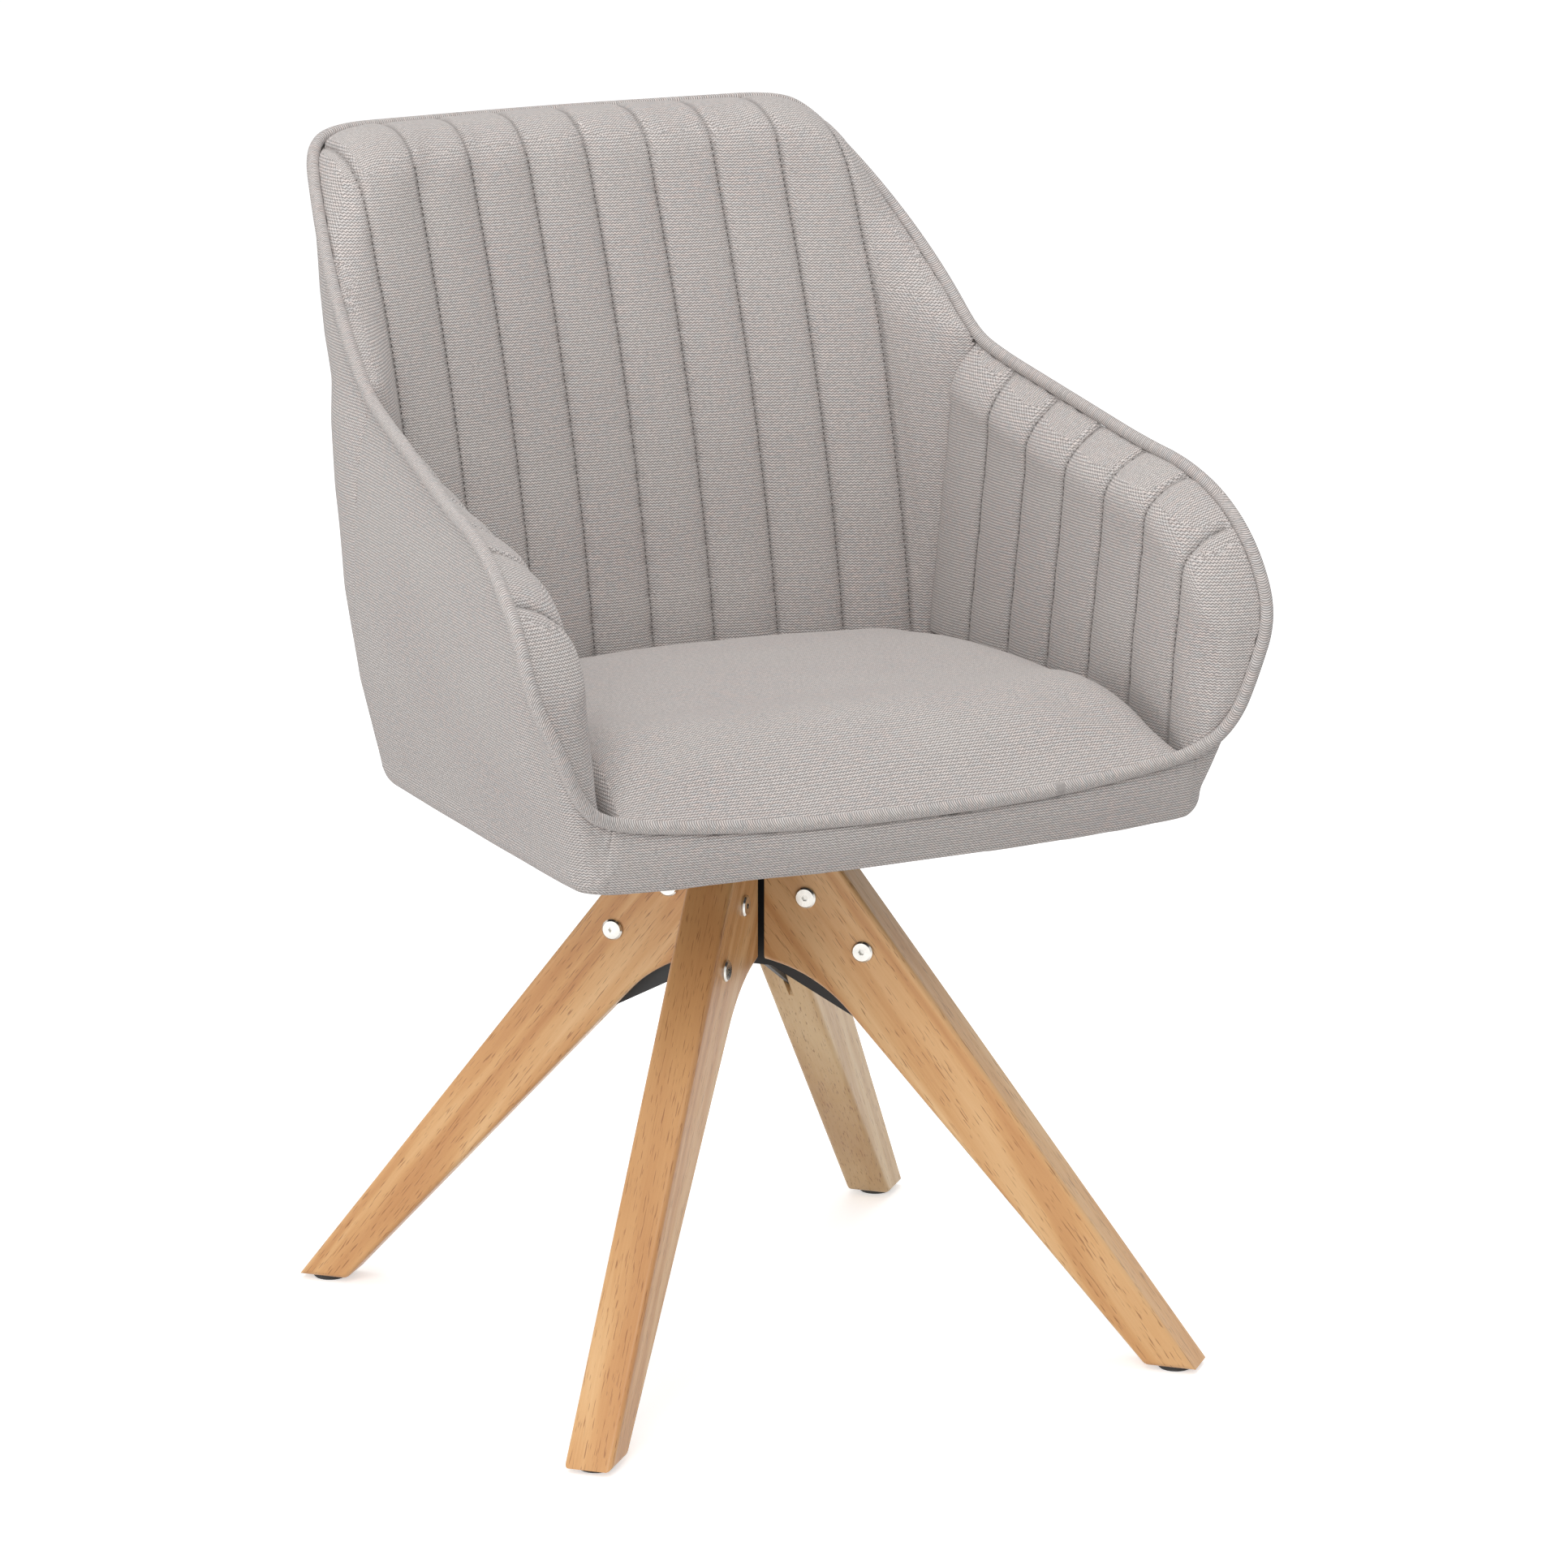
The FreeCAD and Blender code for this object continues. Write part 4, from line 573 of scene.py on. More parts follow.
@dataclass
class Cloth:
    """Steps that turn a CAD solid into sewn cloth over foam, round the finished piping."""

    piping: "Piping"
    pressure: float = 4.0
    frames: int = 20
    bite: float = 0.2 * MM
    even_reach: int = 2
    full_pull: float = 2 * MM
    pad_pulls: tuple[Span, ...] = ((27 * MM, 32 * MM), (12 * MM, 12 * MM))
    pad_fill: float = 0.7
    level_from: float = 0.72
    side_from: float = 0.66

    def __post_init__(self) -> None:
        """Make the finish that every panel shares."""
        self.finish = UpholsteryCloth().material()

    def evened(self, node: str, voxel: float, rounds: int) -> Piece:
        """Copy a CAD node into a piece of small even squares, with loose triangles joined, and relax it.

        Args:
            node: The CAD node.
            voxel: Size of a square in metres.
            rounds: How many times it is relaxed.

        Returns:
            The piece.
        """
        name = f"{node}_cloth"
        piece = linked(name, baked(name, welded(node)))
        step = piece.modifiers.new("even", "REMESH")
        step.mode = "VOXEL"
        step.voxel_size = voxel
        self.settled(piece)
        self.smoothed(piece, rounds)
        return piece

    def settled(self, piece: Piece) -> None:
        """Make a piece's modifiers part of its mesh.

        Args:
            piece: The piece.
        """
        graph = bpy.context.evaluated_depsgraph_get()
        mesh = bpy.data.meshes.new_from_object(piece.evaluated_get(graph))
        piece.modifiers.clear()
        piece.data = mesh

    def smoothed(self, piece: Piece, rounds: int,
                 keep: Optional[Callable[[Vector], bool]] = None) -> None:
        """Relax a piece's surface.

        Args:
            piece: The piece.
            rounds: How many times.
            keep: Tells which places stay as they are.
        """
        shape = bmesh.new()
        shape.from_mesh(piece.data)
        free = [vert for vert in shape.verts if keep is None or not keep(vert.co)]
        for _ in range(rounds):
            bmesh.ops.smooth_vert(shape, verts=free, factor=0.5, use_axis_x=True, use_axis_y=True,
                                  use_axis_z=True)
        shape.to_mesh(piece.data)
        shape.free()

    def moved(self, piece: Piece, step: Callable[[Vector, Vector], Vector]) -> None:
        """Move each point of a piece.

        Args:
            piece: The piece.
            step: Gives the movement from a point and its normal.
        """
        piece.data.update()
        steps = [step(vert.co, vert.normal) for vert in piece.data.vertices]
        for vert, move in zip(piece.data.vertices, steps):
            vert.co += move
        piece.data.update()

    def inflated(self, piece: Piece, cap: float, held: Callable[[Vector, Vector], bool]) -> None:
        """Let air pressure swell the cover between its seams, in a short cloth simulation.

        Args:
            piece: The piece, evenly meshed.
            cap: The most that a point may move, in metres.
            held: Tells which points are sewn or rest on something, from their place and normal.
        """
        mesh = piece.data
        rest = [vert.co.copy() for vert in mesh.vertices]
        sewn = piece.vertex_groups.new(name="sewn")
        sewn.add([vert.index for vert in mesh.vertices if held(vert.co, vert.normal)], 1.0, "REPLACE")
        step = piece.modifiers.new("pressure", "CLOTH")
        step.settings.quality = 4
        step.settings.use_pressure = True
        step.settings.uniform_pressure_force = self.pressure
        step.settings.vertex_group_mass = sewn.name
        step.settings.effector_weights.gravity = 0.0
        step.point_cache.frame_start, step.point_cache.frame_end = 1, self.frames
        scene = bpy.context.scene
        for number in range(1, self.frames + 1):
            scene.frame_set(number)
        graph = bpy.context.evaluated_depsgraph_get()
        swollen = [vert.co.copy() for vert in piece.evaluated_get(graph).data.vertices]
        piece.modifiers.remove(step)
        piece.vertex_groups.clear()
        scene.frame_set(1)
        for vert, before, after in zip(mesh.vertices, rest, swollen):
            move = after - before
            vert.co = before + move * min(1.0, cap / max(move.length, 1e-9))
        mesh.update()

    def finer(self, piece: Piece) -> None:
        """Divide a piece's mesh once, rounding it.

        Args:
            piece: The piece.
        """
        step = piece.modifiers.new("round", "SUBSURF")
        step.levels = step.render_levels = 1
        self.settled(piece)

    def rippled(self, piece: Piece, depth: float, size: float) -> None:
        """Give a hand-pulled unevenness.

        Args:
            piece: The piece.
            depth: Largest movement in metres.
            size: Width of a ripple in metres.
        """
        def step(place: Vector, normal: Vector) -> Vector:
            """Give one point's ripple."""
            return normal * depth * noise.noise(place / size)

        self.moved(piece, step)

    def drawn_to_piping(self, piece: Piece, limit: float, depth: float) -> None:
        """Carry an edge up against the piping, keeping its roundness, and out of it.

        Args:
            piece: The piece.
            limit: The widest gap that is closed, from the piping's middle.
            depth: How far into the piece the pull fades.
        """
        touch = self.piping.radius - self.bite
        points = piece.data.vertices
        edge = KDTree(len(points))
        for vert in points:
            edge.insert(vert.co, vert.index)
        edge.balance()
        gaps = [edge.find(place)[2] for place in self.piping.route]
        around = range(-self.even_reach, self.even_reach + 1)
        even = [sum(gaps[(index + off) % len(gaps)] for off in around) / len(around)
                for index in range(len(gaps))]

        def step(place: Vector, _normal: Vector) -> Vector:
            """Give one point's pull."""
            centre, index, gap = self.piping.tree.find(place)
            nearest = even[index]
            if nearest > limit or gap > nearest + depth or gap < 1e-6:
                return Vector((0, 0, 0))
            pull = max(0.0, nearest - touch) * ease(gap, nearest + depth, nearest + self.full_pull)
            return (centre - place) / gap * (gap - touch if gap - pull < touch else pull)

        self.moved(piece, step)

    def channelled(self, piece: Piece, seams: Channels) -> list[float]:
        """Pull the cover down along the channel seams.

        Args:
            piece: The pad.
            seams: Where its seams run.

        Returns:
            How deep in a seam each point lies, from 0 to 1, which sets its painted seam shade.
        """
        creases = []

        def step(place: Vector, normal: Vector) -> Vector:
            """Give one point's pull."""
            gap = seams.gap(place)
            if not seams.shown(place, normal):
                creases.append(0.0)
                return Vector((0, 0, 0))
            # Painted shade: each point's share of the dark seam valley, used by the cloth's colour.
            creases.append(ease(abs(gap), seams.dark, seams.darkest))
            move = normal * -seams.groove * ease(abs(gap), seams.width, 0.0)
            if abs(gap) < seams.snap:
                move[seams.axis] -= gap
            return move

        self.moved(piece, step)
        return creases

    def laid(self, mesh: bpy.types.Mesh) -> None:
        """Lay the weave along each face, in metres.

        Args:
            mesh: The piece's mesh.
        """
        corners = np.empty(len(mesh.loops), np.int32)
        places = np.empty(len(mesh.vertices) * 3, np.float32)
        normals = np.empty(len(mesh.polygons) * 3, np.float32)
        totals = np.empty(len(mesh.polygons), np.int32)
        mesh.loops.foreach_get("vertex_index", corners)
        mesh.vertices.foreach_get("co", places)
        mesh.polygons.foreach_get("normal", normals)
        mesh.polygons.foreach_get("loop_total", totals)
        place = places.reshape(-1, 3)[corners]
        normal = np.abs(np.repeat(normals.reshape(-1, 3), totals, axis=0))
        level, sideways = normal[:, 2] > self.level_from, normal[:, 0] > self.side_from
        across = np.where(level | ~sideways, place[:, 0], place[:, 1])
        along = np.where(level, place[:, 1], place[:, 2])
        layer = mesh.uv_layers.new(name="weave")
        layer.data.foreach_set("uv", np.stack([across, along], axis=1).ravel())

    def stuffed(self, piece: Piece, node: str, pad: "BackPad | ArmPad") -> None:
        """Turn an evenly meshed piece into a channelled pad that meets the piping.

        Args:
            piece: The piece.
            node: The CAD node that it replaces.
            pad: Says where the piece is tucked in, held and sewn.
        """
        seams = pad.seams()
        self.moved(piece, pad.tucked)
        self.inflated(piece, pad.swell, lambda place, normal: seams.sewn(place) or pad.held(place, normal))
        self.finer(piece)
        for limit, depth in self.pad_pulls:
            self.drawn_to_piping(piece, limit, depth)
        self.finished(piece, node, self.pad_fill, self.channelled(piece, seams))

    def finished(self, piece: Piece, node: str, fill: float,
                 creases: Optional[Sequence[float]] = None) -> None:
        """Dress a piece and attach it to the seat in place of its CAD node.

        Args:
            piece: The piece.
            node: The CAD node that it replaces.
            fill: How tight its stuffing is; not used.
            creases: How deep in a seam each point lies, from 0 to 1, which sets its painted seam shade.
        """
        mesh = piece.data
        # This attribute darkens the cloth's colour in the seam valleys as painted shade.
        layer = mesh.attributes.new("seam_shade", "FLOAT", "POINT")
        layer.data.foreach_set("value", list(creases) if creases else [0.0] * len(mesh.vertices))
        self.laid(mesh)
        surfaced(mesh, self.finish)
        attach(piece, "seat")
        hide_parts(node)
        log.info("%s: %d faces", piece.name, len(mesh.polygons))


@dataclass
class Piping:
    """Cloth-covered cord sewn along the tub's edge."""

    radius: float = 4.5 * MM
    upper_from: float = 0.6
    upper_lean: float = 0.3
    lower_lean: float = -0.2
    half: tuple[Placed, ...] = (
        (66.6, -254.7, 429.3), (151.0, -249.5, 434.5), (222.0, -242.0, 442.0), (244.0, -247.0, 463.0),
        (256.0, -249.0, 493.0), (272.7, -243.1, 529.6), (272.6, -222.1, 568.0), (270.2, -187.0, 597.9),
        (265.2, -142.0, 615.8), (259.1, -92.7, 622.6), (251.9, -35.3, 635.0), (244.7, 22.1, 647.3),
        (238.6, 71.3, 657.8), (235.0, 103.3, 667.9), (232.4, 142.5, 700.8), (224.8, 187.7, 736.5),
        (211.9, 235.5, 772.3), (195.0, 287.0, 806.0), (172.0, 293.3, 816.0), (114.0, 309.4, 814.0),
        (38.0, 320.6, 813.0),
    )

    def curve(self, bevel: float) -> Piece:
        """Draw the closed line of the piping.

        Args:
            bevel: Radius of the tube round it, or 0.

        Returns:
            The curve.
        """
        data = bpy.data.curves.new("piping_line", "CURVE")
        data.dimensions = "3D"
        line = data.splines.new("NURBS")
        ring = [row_place(*point) for point in self.half]
        ring += [row_place(-x, y, z) for x, y, z in reversed(self.half)]
        line.points.add(len(ring) - 1)
        for point, place in zip(line.points, ring):
            point.co = (*place, 1.0)
        line.order_u = 3
        line.use_cyclic_u = True
        line.resolution_u = 12
        data.bevel_depth = bevel
        data.bevel_resolution = 4
        return linked("piping_line", data)

    def meshed(self, bevel: float) -> bpy.types.Mesh:
        """Turn the line or its tube into a mesh.

        Args:
            bevel: Radius of the tube, or 0.

        Returns:
            The mesh.
        """
        line = self.curve(bevel)
        graph = bpy.context.evaluated_depsgraph_get()
        mesh = bpy.data.meshes.new_from_object(line.evaluated_get(graph))
        bpy.data.objects.remove(line)
        return mesh

    def build(self) -> None:
        """Make the piping, its route and its finish."""
        self.route = [vert.co.copy() for vert in self.meshed(0.0).vertices]
        self.tree = KDTree(len(self.route))
        for index, place in enumerate(self.route):
            self.tree.insert(place, index)
        self.tree.balance()
        mesh = self.meshed(self.radius)
        piece = linked("piping", mesh)
        self.lay(mesh)
        surfaced(mesh, UpholsteryCloth(weave=Weave.PIPING, row=1.7 * MM, zigzag=18 * MM).material())
        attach(piece, "seat")
        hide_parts("piping_cord")
        log.info("piping: %d faces", len(mesh.polygons))

    def lay(self, mesh: bpy.types.Mesh) -> None:
        """Lay the weave along the cord, its rows meeting in the middle of the outer side.

        Args:
            mesh: The tube.
        """
        lengths, total = [0.0], 0.0
        for first, second in zip(self.route, self.route[1:]):
            total += (second - first).length
            lengths.append(total)
        seam_shade = mesh.attributes.new("seam_shade", "FLOAT", "POINT")
        laid = []
        for vert in mesh.vertices:
            centre, index, _ = self.tree.find(vert.co)
            along = (self.route[(index + 1) % len(self.route)] - self.route[index - 1]).normalized()
            lean = self.upper_lean if centre.z > self.upper_from else self.lower_lean
            out = Vector((centre.x, centre.y, lean)).normalized()
            side = along.cross(out).normalized()
            offset = vert.co - centre
            laid.append((offset.dot(side), lengths[index] + offset.dot(along)))
            seam_shade.data[vert.index].value = 0.0
        for old in list(mesh.uv_layers):
            mesh.uv_layers.remove(old)
        layer = mesh.uv_layers.new(name="weave")
        for loop in mesh.loops:
            layer.data[loop.index].uv = laid[loop.vertex_index]


@dataclass
class BackPad:
    """Channelled pad behind the sitter, rolled over the tub's top edge."""

    cloth: Cloth
    channel: float = 47 * MM
    channels: int = 8
    voxel: float = 4.7 * MM
    groove: float = 2.2 * MM
    roll_start: float = 0.8
    front_below: float = 0.35
    even_rounds: int = 2
    wing_rounds: int = 14
    wing_start: float = 0.165
    wing_middle: float = 0.672
    wing_reach: float = 0.05
    shrink_mm: float = 1.2
    wing_pull: float = 4 * MM
    pull_out: Span = (0.185, 0.21)
    pull_down: Span = (0.71, 0.67)
    pull_forward: Span = (0.09, 0.072)
    swell: float = 5 * MM
    rear_from: float = 0.25
    hidden_below: float = 0.44
    row_front: float = -0.1
    row_foot: float = 0.462

    def seams(self) -> Channels:
        """Place the seams, one each side of every channel."""
        return Channels(0, -self.channels / 2 * self.channel, self.channel, self.channels + 1, self.groove,
                        lambda place, normal: normal.y < self.front_below or place.z > self.roll_start)

    def build(self) -> Piece:
        """Make the pad.

        Returns:
            The pad.
        """
        cloth = self.cloth
        piece = cloth.evened("back_pad", self.voxel, self.even_rounds)
        cloth.smoothed(piece, self.wing_rounds, keep=self.off_wing)
        cloth.stuffed(piece, "back_pad", self)
        return piece

    def off_wing(self, place: Vector) -> bool:
        """Tell whether a place lies away from the wings' fold."""
        return abs(place.x) < self.wing_start or abs(place.z - self.wing_middle) > self.wing_reach

    def held(self, place: Vector, normal: Vector) -> bool:
        """Tell whether a place rests on the shell or behind the cushion."""
        return normal.y > self.rear_from or place.z < self.hidden_below

    def tucked(self, place: Vector, normal: Vector) -> Vector:
        """Give the pull that brings the wings' lower edge against the arm pads."""
        wing = ease(abs(place.x), *self.pull_out) * ease(place.z, *self.pull_down)
        wing *= ease(place.y, *self.pull_forward)
        return normal * -self.shrink_mm * MM - Vector((0, self.wing_pull * wing, 0))

    def rows(self) -> list[tuple[Vector, Vector, Vector]]:
        """List the stitch rows, from the cushion up to the roll."""
        front = self.row_front
        return [(Vector((x, front, self.row_foot)), Vector((x, front, self.roll_start)), Vector((0, 1, 0)))
                for x in self.seams().places()]


@dataclass
class ArmPad:
    """Channelled pad on the inside of an arm."""

    cloth: Cloth
    side: int
    channel: float = 50 * MM
    first_seam: float = -0.2 - AXIS_LEAD * MM
    channels: int = 6
    voxel: float = 4 * MM
    groove: float = 1.8 * MM
    outer_from: float = 0.45
    even_rounds: int = 2
    shrink_mm: float = 1.0
    foot_drop: float = 24 * MM
    drop_down: Span = (0.5, 0.456)
    drop_forward: Span = (-0.11, -0.19)
    rear_pull: float = 4 * MM
    pull_back: Span = (0.04, 0.066)
    swell: float = 4 * MM
    shell_from: float = 0.3
    hidden_below: float = 0.47
    row_inset: float = 0.12
    row_foot: float = 0.47
    row_top: float = 0.64

    @property
    def label(self) -> str:
        """Name the side."""
        return "left" if self.side > 0 else "right"

    def seams(self) -> Channels:
        """Place the seams, the last one short of the back pad."""
        return Channels(1, self.first_seam, self.channel, self.channels, self.groove,
                        lambda place, normal: normal.x * self.side < self.outer_from)

    def build(self) -> Piece:
        """Make the pad.

        Returns:
            The pad.
        """
        cloth, node = self.cloth, f"arm_pad_{self.label}"
        piece = cloth.evened(node, self.voxel, self.even_rounds)
        cloth.stuffed(piece, node, self)
        return piece

    def held(self, place: Vector, normal: Vector) -> bool:
        """Tell whether a place rests on the shell or beside the cushion."""
        return normal.x * self.side > self.shell_from or place.z < self.hidden_below

    def tucked(self, place: Vector, normal: Vector) -> Vector:
        """Give the pull that tucks the front foot behind the cushion and the rear end to the back pad."""
        down = self.foot_drop * ease(place.z, *self.drop_down) * ease(place.y, *self.drop_forward)
        back = self.rear_pull * ease(place.y, *self.pull_back)
        return normal * -self.shrink_mm * MM + Vector((0, back, -down))

    def rows(self) -> list[tuple[Vector, Vector, Vector]]:
        """List the stitch rows, from the cushion up to the rim."""
        x = self.row_inset * self.side
        return [(Vector((x, y, self.row_foot)), Vector((x, y, self.row_top)), Vector((self.side, 0, 0)))
                for y in self.seams().places()]


@dataclass
class SeatCushion:
    """Crowned foam cushion between the arms."""

    cloth: Cloth
    voxel: float = 5 * MM
    even_rounds: int = 4
    last_rounds: int = 8
    shrink_mm: float = 1.0
    swell: float = 2.5 * MM
    hidden_below: float = 0.42
    pull: Span = (24 * MM, 26 * MM)
    ripple: Span = (0.8 * MM, 70 * MM)
    fill: float = 0.85

    def build(self) -> None:
        """Make the cushion."""
        cloth = self.cloth
        piece = cloth.evened("seat_cushion", self.voxel, self.even_rounds)
        cloth.moved(piece, lambda place, normal: normal * -self.shrink_mm * MM)
        cloth.inflated(piece, self.swell, lambda place, normal: place.z < self.hidden_below)
        cloth.smoothed(piece, self.last_rounds)
        cloth.finer(piece)
        cloth.drawn_to_piping(piece, *self.pull)
        cloth.rippled(piece, *self.ripple)
        cloth.finished(piece, "seat_cushion", self.fill)


@dataclass
class OuterCover:
    """Cloth drawn over the outside of the shell."""

    cloth: Cloth
    node: str
    voxel: float = 3 * MM
    apron_end: float = 0.207
    apron_reach: float = 12 * MM
    apron_fade: float = 40 * MM
    apron_back: float = 2.5 * MM
    seam: float = (100 - AXIS_LEAD) * MM
    seam_pull: float = 2.8 * MM
    seam_fade: Span = (14 * MM, 1.5 * MM)
    widest_gap: float = 15 * MM
    narrow_gap: float = 9 * MM
    even_rounds: int = 2
    ripple: Span = (1.3 * MM, 85 * MM)
    fill: float = 0.95

    def lengthened(self, place: Vector, _normal: Vector) -> Vector:
        """Give the pull that brings the apron's ends to the side covers."""
        share = ease(abs(place.x), self.apron_end - self.apron_fade, self.apron_end)
        return Vector((math.copysign(self.apron_reach, place.x), self.apron_back, 0)) * share

    def seamed(self, place: Vector, _normal: Vector) -> Vector:
        """Give the pull that closes the upright seam between a side cover and the back cover."""
        near = ease(abs(place.y - self.seam), *self.seam_fade)
        return Vector((0, math.copysign(self.seam_pull, self.seam - place.y), 0)) * near

    def build(self) -> None:
        """Make the cover."""
        cloth = self.cloth
        piece = cloth.evened(self.node, self.voxel, self.even_rounds)
        cloth.moved(piece, self.lengthened if self.node == "front_apron" else self.seamed)
        for gap in (self.widest_gap, self.narrow_gap):
            cloth.drawn_to_piping(piece, gap, gap)
        cloth.rippled(piece, *self.ripple)
        cloth.finished(piece, self.node, self.fill)


@dataclass
class Stitching:
    """Rows of short stitches in the channels."""

    thread: bpy.types.Material
    pitch: float = 4.4 * MM
    length: float = 2.4 * MM
    radius: float = 0.42 * MM
    proud_mm: float = 0.2
    widest_step: float = 2.5

    def row(self, shape: bmesh.types.BMesh, pad: BVHTree, start: Vector, end: Vector, look: Vector) -> None:
        """Sew one row onto a pad.

        Args:
            shape: The mesh that takes the stitches.
            pad: The pad's surface.
            start: First place, in front of the pad.
            end: Last place.
            look: Direction from there to the pad.
        """
        run = end - start
        count = int(run.length / self.pitch)
        found = [pad.ray_cast(start + run * (number / count), look)[0] for number in range(count + 1)]
        for first, second in zip(found, found[1:]):
            if first is None or second is None or (second - first).length > self.widest_step * self.pitch:
                continue
            along = (second - first).normalized()
            turn = along.to_track_quat("Z", "Y").to_matrix().to_4x4()
            size = Matrix.Diagonal((self.radius, self.radius, self.length / 2, 1.0))
            place = Matrix.Translation(first - look * self.proud_mm * MM)
            bmesh.ops.create_uvsphere(shape, u_segments=6, v_segments=4, radius=1.0,
                                      matrix=place @ turn @ size)

    def sewn(self, name: str, piece: Piece, rows: Sequence[tuple[Vector, Vector, Vector]]) -> None:
        """Sew all of a pad's rows.

        Args:
            name: The new piece.
            piece: The pad.
            rows: Start, end and looking direction of each row.
        """
        surface = bmesh.new()
        surface.from_mesh(piece.data)
        pad = BVHTree.FromBMesh(surface)
        shape = bmesh.new()
        for start, end, look in rows:
            self.row(shape, pad, start, end, look)
        surface.free()
        mesh = baked(name, shape)
        surfaced(mesh, self.thread)
        made = linked(name, mesh)
        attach(made, "seat")
        log.info("%s: %d faces", name, len(mesh.polygons))


@dataclass
class DustSheet:
    """Black cloth stapled under the seat board."""

    grid: float = 12 * MM
    sag: float = 1.2 * MM
    dent: float = 45 * MM
    thickness: float = 0.5 * MM
    under_below: float = -0.9

    def build(self) -> None:
        """Make the sheet from the underside of the CAD one."""
        low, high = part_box("dust_cover")
        shape = welded("dust_cover")
        upper = [face for face in shape.faces if face.normal.z > self.under_below]
        bmesh.ops.delete(shape, geom=upper, context="FACES")
        area = sum(face.calc_area() for face in shape.faces)
        for axis in (0, 1):
            cut = low[axis] + self.grid
            normal = Vector((1, 0, 0)) if axis == 0 else Vector((0, 1, 0))
            while cut < high[axis]:
                geometry = shape.verts[:] + shape.edges[:] + shape.faces[:]
                bmesh.ops.bisect_plane(shape, geom=geometry, plane_co=normal * cut, plane_no=normal)
                cut += self.grid
        for vert in shape.verts:
            if not vert.is_boundary:
                vert.co.z -= self.sag * (0.5 + 0.5 * noise.noise(vert.co / self.dent))
        mesh = baked("dust_sheet", shape)
        mesh.materials.append(DustCloth().material())
        piece = linked("dust_sheet", mesh)
        thick = piece.modifiers.new("thickness", "SOLIDIFY")
        thick.thickness = self.thickness
        thick.offset = -1.0
        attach(piece, "seat")
        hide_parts("dust_cover")
        log.info("dust_sheet: %d faces", len(mesh.polygons))


@dataclass
class TubSeat:
    """The upholstered tub: piping, pads, cushion, covers and stitching."""

    back_cover_gap: float = 32 * MM

    def build(self) -> None:
        """Make and dress every soft piece of the seat."""
        piping = Piping()
        piping.build()
        cloth = Cloth(piping)
        for node in ("side_cover_left", "side_cover_right", "front_apron"):
            OuterCover(cloth, node).build()
        OuterCover(cloth, "back_cover", widest_gap=self.back_cover_gap).build()
        back, stitching = BackPad(cloth), Stitching(SewingThread().material())
        stitching.sewn("back_stitches", back.build(), back.rows())
        for side in (1, -1):
            arm = ArmPad(cloth, side)
            stitching.sewn(f"arm_stitches_{arm.label}", arm.build(), arm.rows())
        SeatCushion(cloth).build()
        DustSheet().build()


@dataclass
class Base:
    """The timber legs with their fittings, and the swivel."""

    lean: float = 37.4

    def paint(self, finish: bpy.types.Material, *nodes: str) -> None:
        """Give CAD nodes a finish.

        Args:
            finish: The material.
            nodes: The nodes' names.
        """
        for node in nodes:
            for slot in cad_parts[node].material_slots:
                slot.material = finish
            log.info("%s: %s", node, finish.name)

    def build(self) -> None:
        """Dress the carried-over nodes."""
        legs = (
            LacqueredTimber("timber_front_right", -135.0, self.lean, shift=0.31),
            LacqueredTimber("timber_front_left", -45.0, self.lean, shift=1.47),
            LacqueredTimber("timber_rear_left", 45.0, self.lean, pale=tint(226, 194, 146),
                            honey=tint(212, 174, 122), toasted=tint(196, 154, 102), shift=2.9),
            LacqueredTimber("timber_rear_right", 135.0, self.lean, shift=4.2),
        )
        for leg in legs:
            self.paint(leg.material(), leg.name.replace("timber", "leg"))
        coat = PowderCoat().material()
        bright = Steel(SteelKind.BRIGHT).material()
        plain = Steel(SteelKind.PLAIN).material()
        self.paint(coat, "cross_bracket", "swivel_lower_plate", "swivel_upper_plate", "swivel_pivot",
                   "tub_frame")
        self.paint(bright, "leg_bolts", "leg_sleeve_nuts", "swivel_balls")
        self.paint(plain, "glide_nails", "ball_cage", "lower_plate_screws", "lower_plate_nuts",
                   "seat_washers", "seat_screws", "tee_nuts", "frame_screws")
        self.paint(GlideNylon().material(), "foot_glides")
        self.paint(BirchPly().material(), "seat_board")


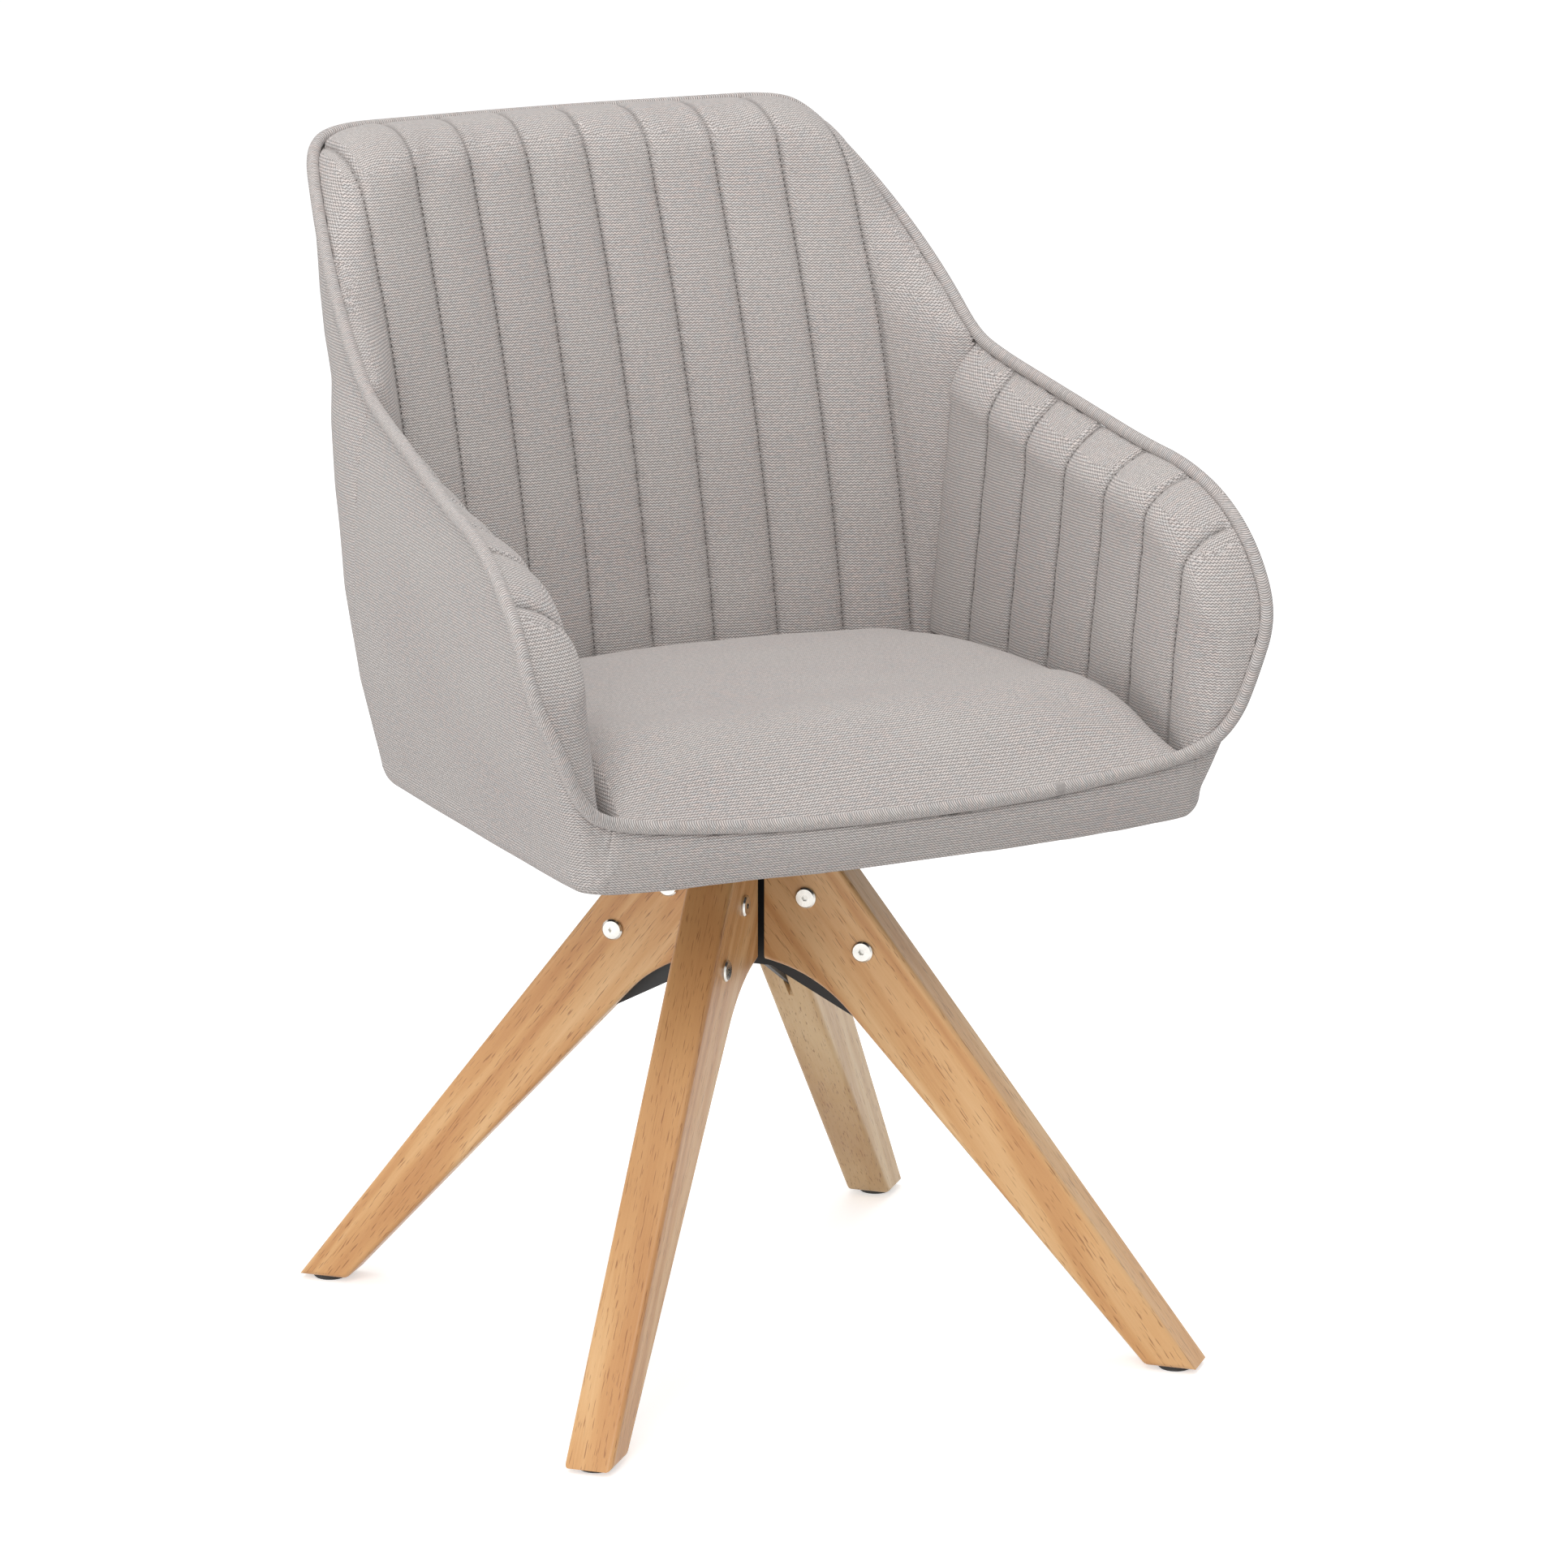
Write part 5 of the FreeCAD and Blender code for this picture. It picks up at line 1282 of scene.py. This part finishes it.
@dataclass
class Studio:
    """White floor, soft lamps and the camera."""

    azimuth: float = -26.77
    elevation: float = 14.39
    distance: float = 4.50
    lens: float = 149.85
    shift_x: float = 0.0254
    target: Placed = (0.0, -0.033, 0.3895)
    floor_half: float = 9.0
    floor_shaded: Colour = (0.72, 0.72, 0.72)
    floor_seen: Colour = (0.96, 0.96, 0.96)
    floor_glow: float = 0.5
    sky_light: float = 0.52
    sensor: float = 36.0
    lamps: tuple[tuple[str, Placed, float, float], ...] = (
        ("key", (-2.6, -3.4, 3.6), 88.0, 3.0), ("side", (-3.8, -0.9, 0.9), 34.0, 1.6),
        ("fill", (3.6, -2.2, 2.4), 8.0, 3.0), ("top", (0.1, 0.2, 4.4), 66.0, 2.6),
    )

    def floor(self) -> None:
        """Lay the floor, white to the camera and with the chair's shadow."""
        shape = bmesh.new()
        bmesh.ops.create_grid(shape, x_segments=8, y_segments=8, size=self.floor_half)
        mesh = baked("floor", shape)
        recipe = Recipe("floor_white")
        seen = recipe.seen()
        recipe.dress(base_color=recipe.blend(seen, self.floor_shaded, self.floor_seen), roughness=0.9,
                     specular_ior_level=0.0, emission_color=(1.0, 1.0, 1.0),
                     emission_strength=recipe.sum("MULTIPLY", seen, self.floor_glow))
        mesh.materials.append(recipe.material)
        floor = linked("floor", mesh)

    def sky(self) -> None:
        """Surround the scene with soft light that the camera sees as white."""
        world = bpy.data.worlds.new("studio")
        bpy.context.scene.world = world
        world.use_nodes = True
        graph = Graph(world.node_tree)
        background = graph.tree.nodes["Background"].inputs
        level = graph.node("MapRange", {0: graph.seen(), 3: self.sky_light, 4: 1.0})
        graph.feed(background["Strength"], level.outputs[0])
        background["Color"].default_value = (1.0, 1.0, 1.0, 1.0)

    def lamp(self, name: str, place: Placed, power: float, width: float) -> None:
        """Hang one soft lamp.

        Args:
            name: The lamp's name.
            place: Where it hangs.
            power: Its power in watts.
            width: Its width in metres.
        """
        data = bpy.data.lights.new(name, "AREA")
        data.energy = power
        data.size = width
        lamp = linked(name, data)
        lamp.location = place
        aim = Vector(self.target) - Vector(place)
        lamp.rotation_euler = aim.to_track_quat("-Z", "Y").to_euler()

    def build(self) -> None:
        """Set up floor, light and camera."""
        scene = bpy.context.scene
        scene.view_settings.view_transform = "Standard"
        self.floor()
        self.sky()
        for lamp in self.lamps:
            self.lamp(*lamp)
        around, up = math.radians(self.azimuth), math.radians(self.elevation)
        back = Vector((math.sin(around) * math.cos(up), -math.cos(around) * math.cos(up), math.sin(up)))
        data = bpy.data.cameras.new("camera")
        data.lens = self.lens
        data.sensor_width = self.sensor
        data.shift_x = self.shift_x
        camera = linked("camera", data)
        camera.location = Vector(self.target) + back * self.distance
        camera.rotation_euler = (-back).to_track_quat("-Z", "Y").to_euler()
        scene.camera = camera


def main() -> None:
    """Build the chair's pieces in order."""
    logging.basicConfig(level=logging.INFO, format="%(name)s %(message)s")
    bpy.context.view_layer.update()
    Studio().build()
    Base().build()
    TubSeat().build()


if __name__ == "__main__":
    main()
